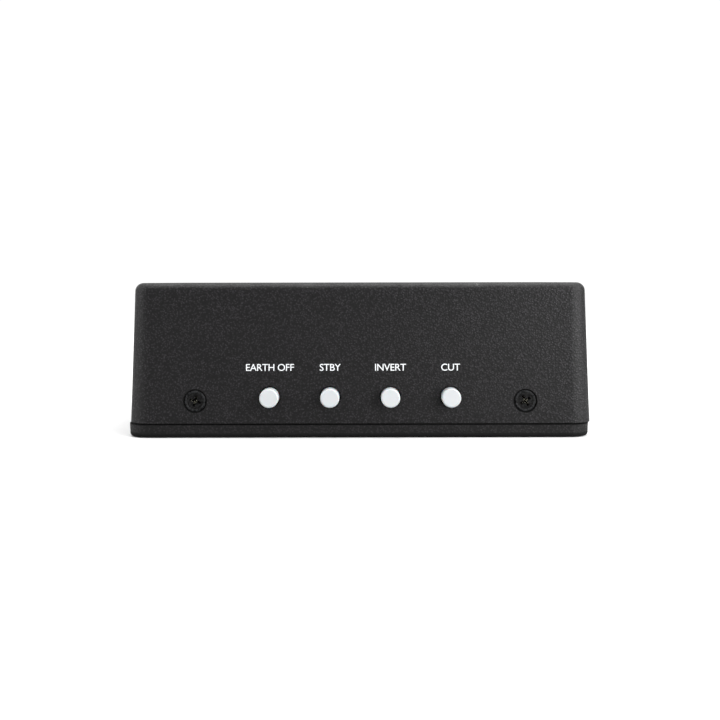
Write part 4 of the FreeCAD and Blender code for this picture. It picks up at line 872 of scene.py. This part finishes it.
# %% The spring tree
spring_tree, given, wanted = open_tree("coil_spring", ("Mean Radius", "Wire Radius", "Turns", "Length"))
wire_width = calc(spring_tree, "MULTIPLY", given["Wire Radius"], 2.0)
rise = calc(spring_tree, "SUBTRACT", given["Length"], wire_width)
helix = add(spring_tree, "GeometryNodeCurveSpiral", Rotations=given["Turns"], Height=rise)
helix.inputs["Resolution"].default_value = 22
feed(spring_tree, helix.inputs["Start Radius"], given["Mean Radius"])
feed(spring_tree, helix.inputs["End Radius"], given["Mean Radius"])
wire = add(spring_tree, "GeometryNodeCurvePrimitiveCircle", Radius=given["Wire Radius"])
wire.inputs["Resolution"].default_value = 10
swept = add(spring_tree, "GeometryNodeCurveToMesh", Curve=helix.outputs[0], Profile_Curve=wire.outputs[0])
swept.inputs["Fill Caps"].default_value = True
lifted = add(spring_tree, "GeometryNodeTransform", Geometry=swept.outputs[0])
lift = spring_tree.nodes.new("ShaderNodeCombineXYZ")
feed(spring_tree, lift.inputs["Z"], given["Wire Radius"])
feed(spring_tree, lifted.inputs["Translation"], lift.outputs[0])
smooth = add(spring_tree, "GeometryNodeSetShadeSmooth", Geometry=lifted.outputs[0])
close_tree(spring_tree, wanted, smooth.outputs[0], "spring_steel")

# %% [markdown]
# Each spring takes its length and width from the CAD spring it stands in for.

# %% Four springs
WIRE_RADIUS = 0.18 * MM
SPRING_TURNS = 6
for button in BUTTONS:
    low, high = (Vector(c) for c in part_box(f"{button}_spring"))
    length = high.y - low.y
    sizes = {
        "Mean Radius": (high.x - low.x) / 2 - WIRE_RADIUS,
        "Wire Radius": WIRE_RADIUS,
        "Turns": SPRING_TURNS,
        "Length": length,
    }
    fixed_end = Vector(((low.x + high.x) / 2, high.y, (low.z + high.z) / 2))
    laid = Matrix.Translation(fixed_end) @ Matrix.Rotation(math.radians(90), 4, "X")
    spring = grow(f"{button}_coil_spring", spring_tree, sizes, [(0, 0, 0)], "case", laid)
    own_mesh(spring)
    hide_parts(f"{button}_spring")
print("spring length", round(length / MM, 2), "mm,", len(spring.data.polygons), "faces")

# %% [markdown]
# ## Solder joints
# Every pin that comes through a board is soldered there. A good joint is a little concave cone
# that rises up its pin. The pins are loose islands of one mesh, so their places can be read
# from the frame.

# %% Where the pins are
def islands(node):
    """The low and high corner of each separate solid in a node."""
    mesh = nodes[node].data
    welded = {}
    parent = {}

    def root_of(item):
        while parent[item] != item:
            parent[item] = parent[parent[item]]
            item = parent[item]
        return item

    keys = []
    for vertex in mesh.vertices:
        key = tuple(round(c / (0.001 * MM)) for c in vertex.co)
        welded.setdefault(key, vertex.co)
        parent.setdefault(key, key)
        keys.append(key)
    for face in mesh.polygons:
        first = root_of(keys[face.vertices[0]])
        for index in face.vertices[1:]:
            parent[root_of(keys[index])] = first
    boxes = {}
    for key, spot in welded.items():
        low, high = boxes.setdefault(root_of(key), (spot.copy(), spot.copy()))
        for axis in range(3):
            low[axis] = min(low[axis], spot[axis])
            high[axis] = max(high[axis], spot[axis])
    return sorted(boxes.values(), key=lambda box: tuple(box[0]))


board_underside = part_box("main_board")[0][2]
switch_board_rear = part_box("switch_board")[1][1]
HEADER_PIN_INSET = 0.32 * MM
under_board = []
for node in ("jack_pins", "transformer_pins", "header_pins"):
    for low, high in islands(node):
        y = high.y - HEADER_PIN_INSET if node == "header_pins" else (low.y + high.y) / 2
        under_board.append(((low.x + high.x) / 2, y))
behind_board = []
for low, high in islands("switch_terminals"):
    behind_board.append(((low.x + high.x) / 2, (low.z + high.z) / 2))
print("solder joints:", len(under_board), "below and", len(behind_board), "behind")

# %% [markdown]
# One small cone, drawn in at its waist by a formula, is set on every place.

# %% The solder tree
solder_tree, given, wanted = open_tree("solder_joints", ("Foot Radius", "Pin Radius", "Rise"))
profile = add(
    solder_tree,
    "GeometryNodeMeshCone",
    Radius_Top=given["Pin Radius"],
    Radius_Bottom=given["Foot Radius"],
    Depth=given["Rise"],
)
profile.inputs["Vertices"].default_value = 14
profile.inputs["Side Segments"].default_value = 4
here = solder_tree.nodes.new("GeometryNodeInputPosition").outputs[0]
hx, hy, hz = parts_of(solder_tree, here)
share = calc(solder_tree, "DIVIDE", hz, given["Rise"])
arch = calc(solder_tree, "MULTIPLY", share, calc(solder_tree, "SUBTRACT", 1.0, share))
waist = calc(solder_tree, "MULTIPLY", arch, 1.1)
pull = calc(solder_tree, "SUBTRACT", 1.0, waist)
shaped = solder_tree.nodes.new("ShaderNodeCombineXYZ")
feed(solder_tree, shaped.inputs[0], calc(solder_tree, "MULTIPLY", hx, pull))
feed(solder_tree, shaped.inputs[1], calc(solder_tree, "MULTIPLY", hy, pull))
feed(solder_tree, shaped.inputs[2], hz)
cone = profile.outputs["Mesh"]
waisted = add(solder_tree, "GeometryNodeSetPosition", Geometry=cone, Position=shaped.outputs[0])
smooth = add(solder_tree, "GeometryNodeSetShadeSmooth", Geometry=waisted.outputs[0])
places = given["Geometry"]
spread = add(solder_tree, "GeometryNodeInstanceOnPoints", Points=places, Instance=smooth.outputs[0])
close_tree(solder_tree, wanted, spread.outputs[0], "tin")

# %% [markdown]
# The tree works on the XY plane with its cones pointing up, so the places are laid out there
# first, and a matrix then turns the finished joints to face out of their board.

# %% Joints on both boards
joint = {"Foot Radius": 0.95 * MM, "Pin Radius": 0.5 * MM, "Rise": 0.9 * MM}
downward = Matrix.Translation((0, 0, board_underside)) @ Matrix.Rotation(math.pi, 4, "X")
flipped = [(x, -y, 0.0) for x, y in under_board]
grow("main_board_solder", solder_tree, joint, flipped, "case", downward)
to_rear = Matrix(((-1, 0, 0, 0), (0, 0, 1, switch_board_rear), (0, 1, 0, 0), (0, 0, 0, 1)))
turned_spots = [(-x, z, 0.0) for x, z in behind_board]
small_joint = {"Foot Radius": 0.8 * MM, "Pin Radius": 0.4 * MM, "Rise": 0.7 * MM}
grow("switch_board_solder", solder_tree, small_joint, turned_spots, "case", to_rear)

# %% [markdown]
# ## Chip legs and resistor ends
# An amplifier chip has eight gull-wing legs, and a chip resistor has tinned ends that wrap its
# body. Both are small boxes repeated in rows, so one tree sets a box of any size on every point.

# %% The little box tree
box_tree, given, wanted = open_tree("little_boxes", ("Length", "Width", "Height"))
size = box_tree.nodes.new("ShaderNodeCombineXYZ")
for socket, label in zip(size.inputs, ("Length", "Width", "Height")):
    feed(box_tree, socket, given[label])
cube = add(box_tree, "GeometryNodeMeshCube", Size=size.outputs[0])
spread = add(box_tree, "GeometryNodeInstanceOnPoints", Points=given["Geometry"], Instance=cube.outputs[0])
close_tree(box_tree, wanted, spread.outputs[0], "tin")

# %% [markdown]
# The legs stand out of a chip's long sides, just above the board. A resistor's ends are a little
# larger than its body, so that they wrap it.

# %% Legs and ends
LEGS_ON_A_SIDE = 4
LEG_OUT = 0.30 * MM
LEG_RISE = 0.12 * MM
leg = {"Length": 0.42 * MM, "Width": 0.62 * MM, "Height": 0.2 * MM}
legs = []
for low, high in islands("amplifier_chips"):
    for step in range(LEGS_ON_A_SIDE):
        x = low.x + (high.x - low.x) * (step + 0.5) / LEGS_ON_A_SIDE
        for y, out in ((low.y, -1), (high.y, 1)):
            legs.append((x, y + out * LEG_OUT, low.z + LEG_RISE))
grow("chip_legs", box_tree, leg, legs, "case")
ends = []
for low, high in islands("chip_resistors"):
    for x in (low.x, high.x):
        ends.append((x, (low.y + high.y) / 2, (low.z + high.z) / 2 + 0.01 * MM))
resistor_low, resistor_high = islands("chip_resistors")[0]
girth = resistor_high - resistor_low
wrap = {"Length": 0.5 * MM, "Width": girth.y + 0.06 * MM, "Height": girth.z + 0.04 * MM}
grow("resistor_ends", box_tree, wrap, ends, "case")
print(len(legs), "legs and", len(ends), "ends")
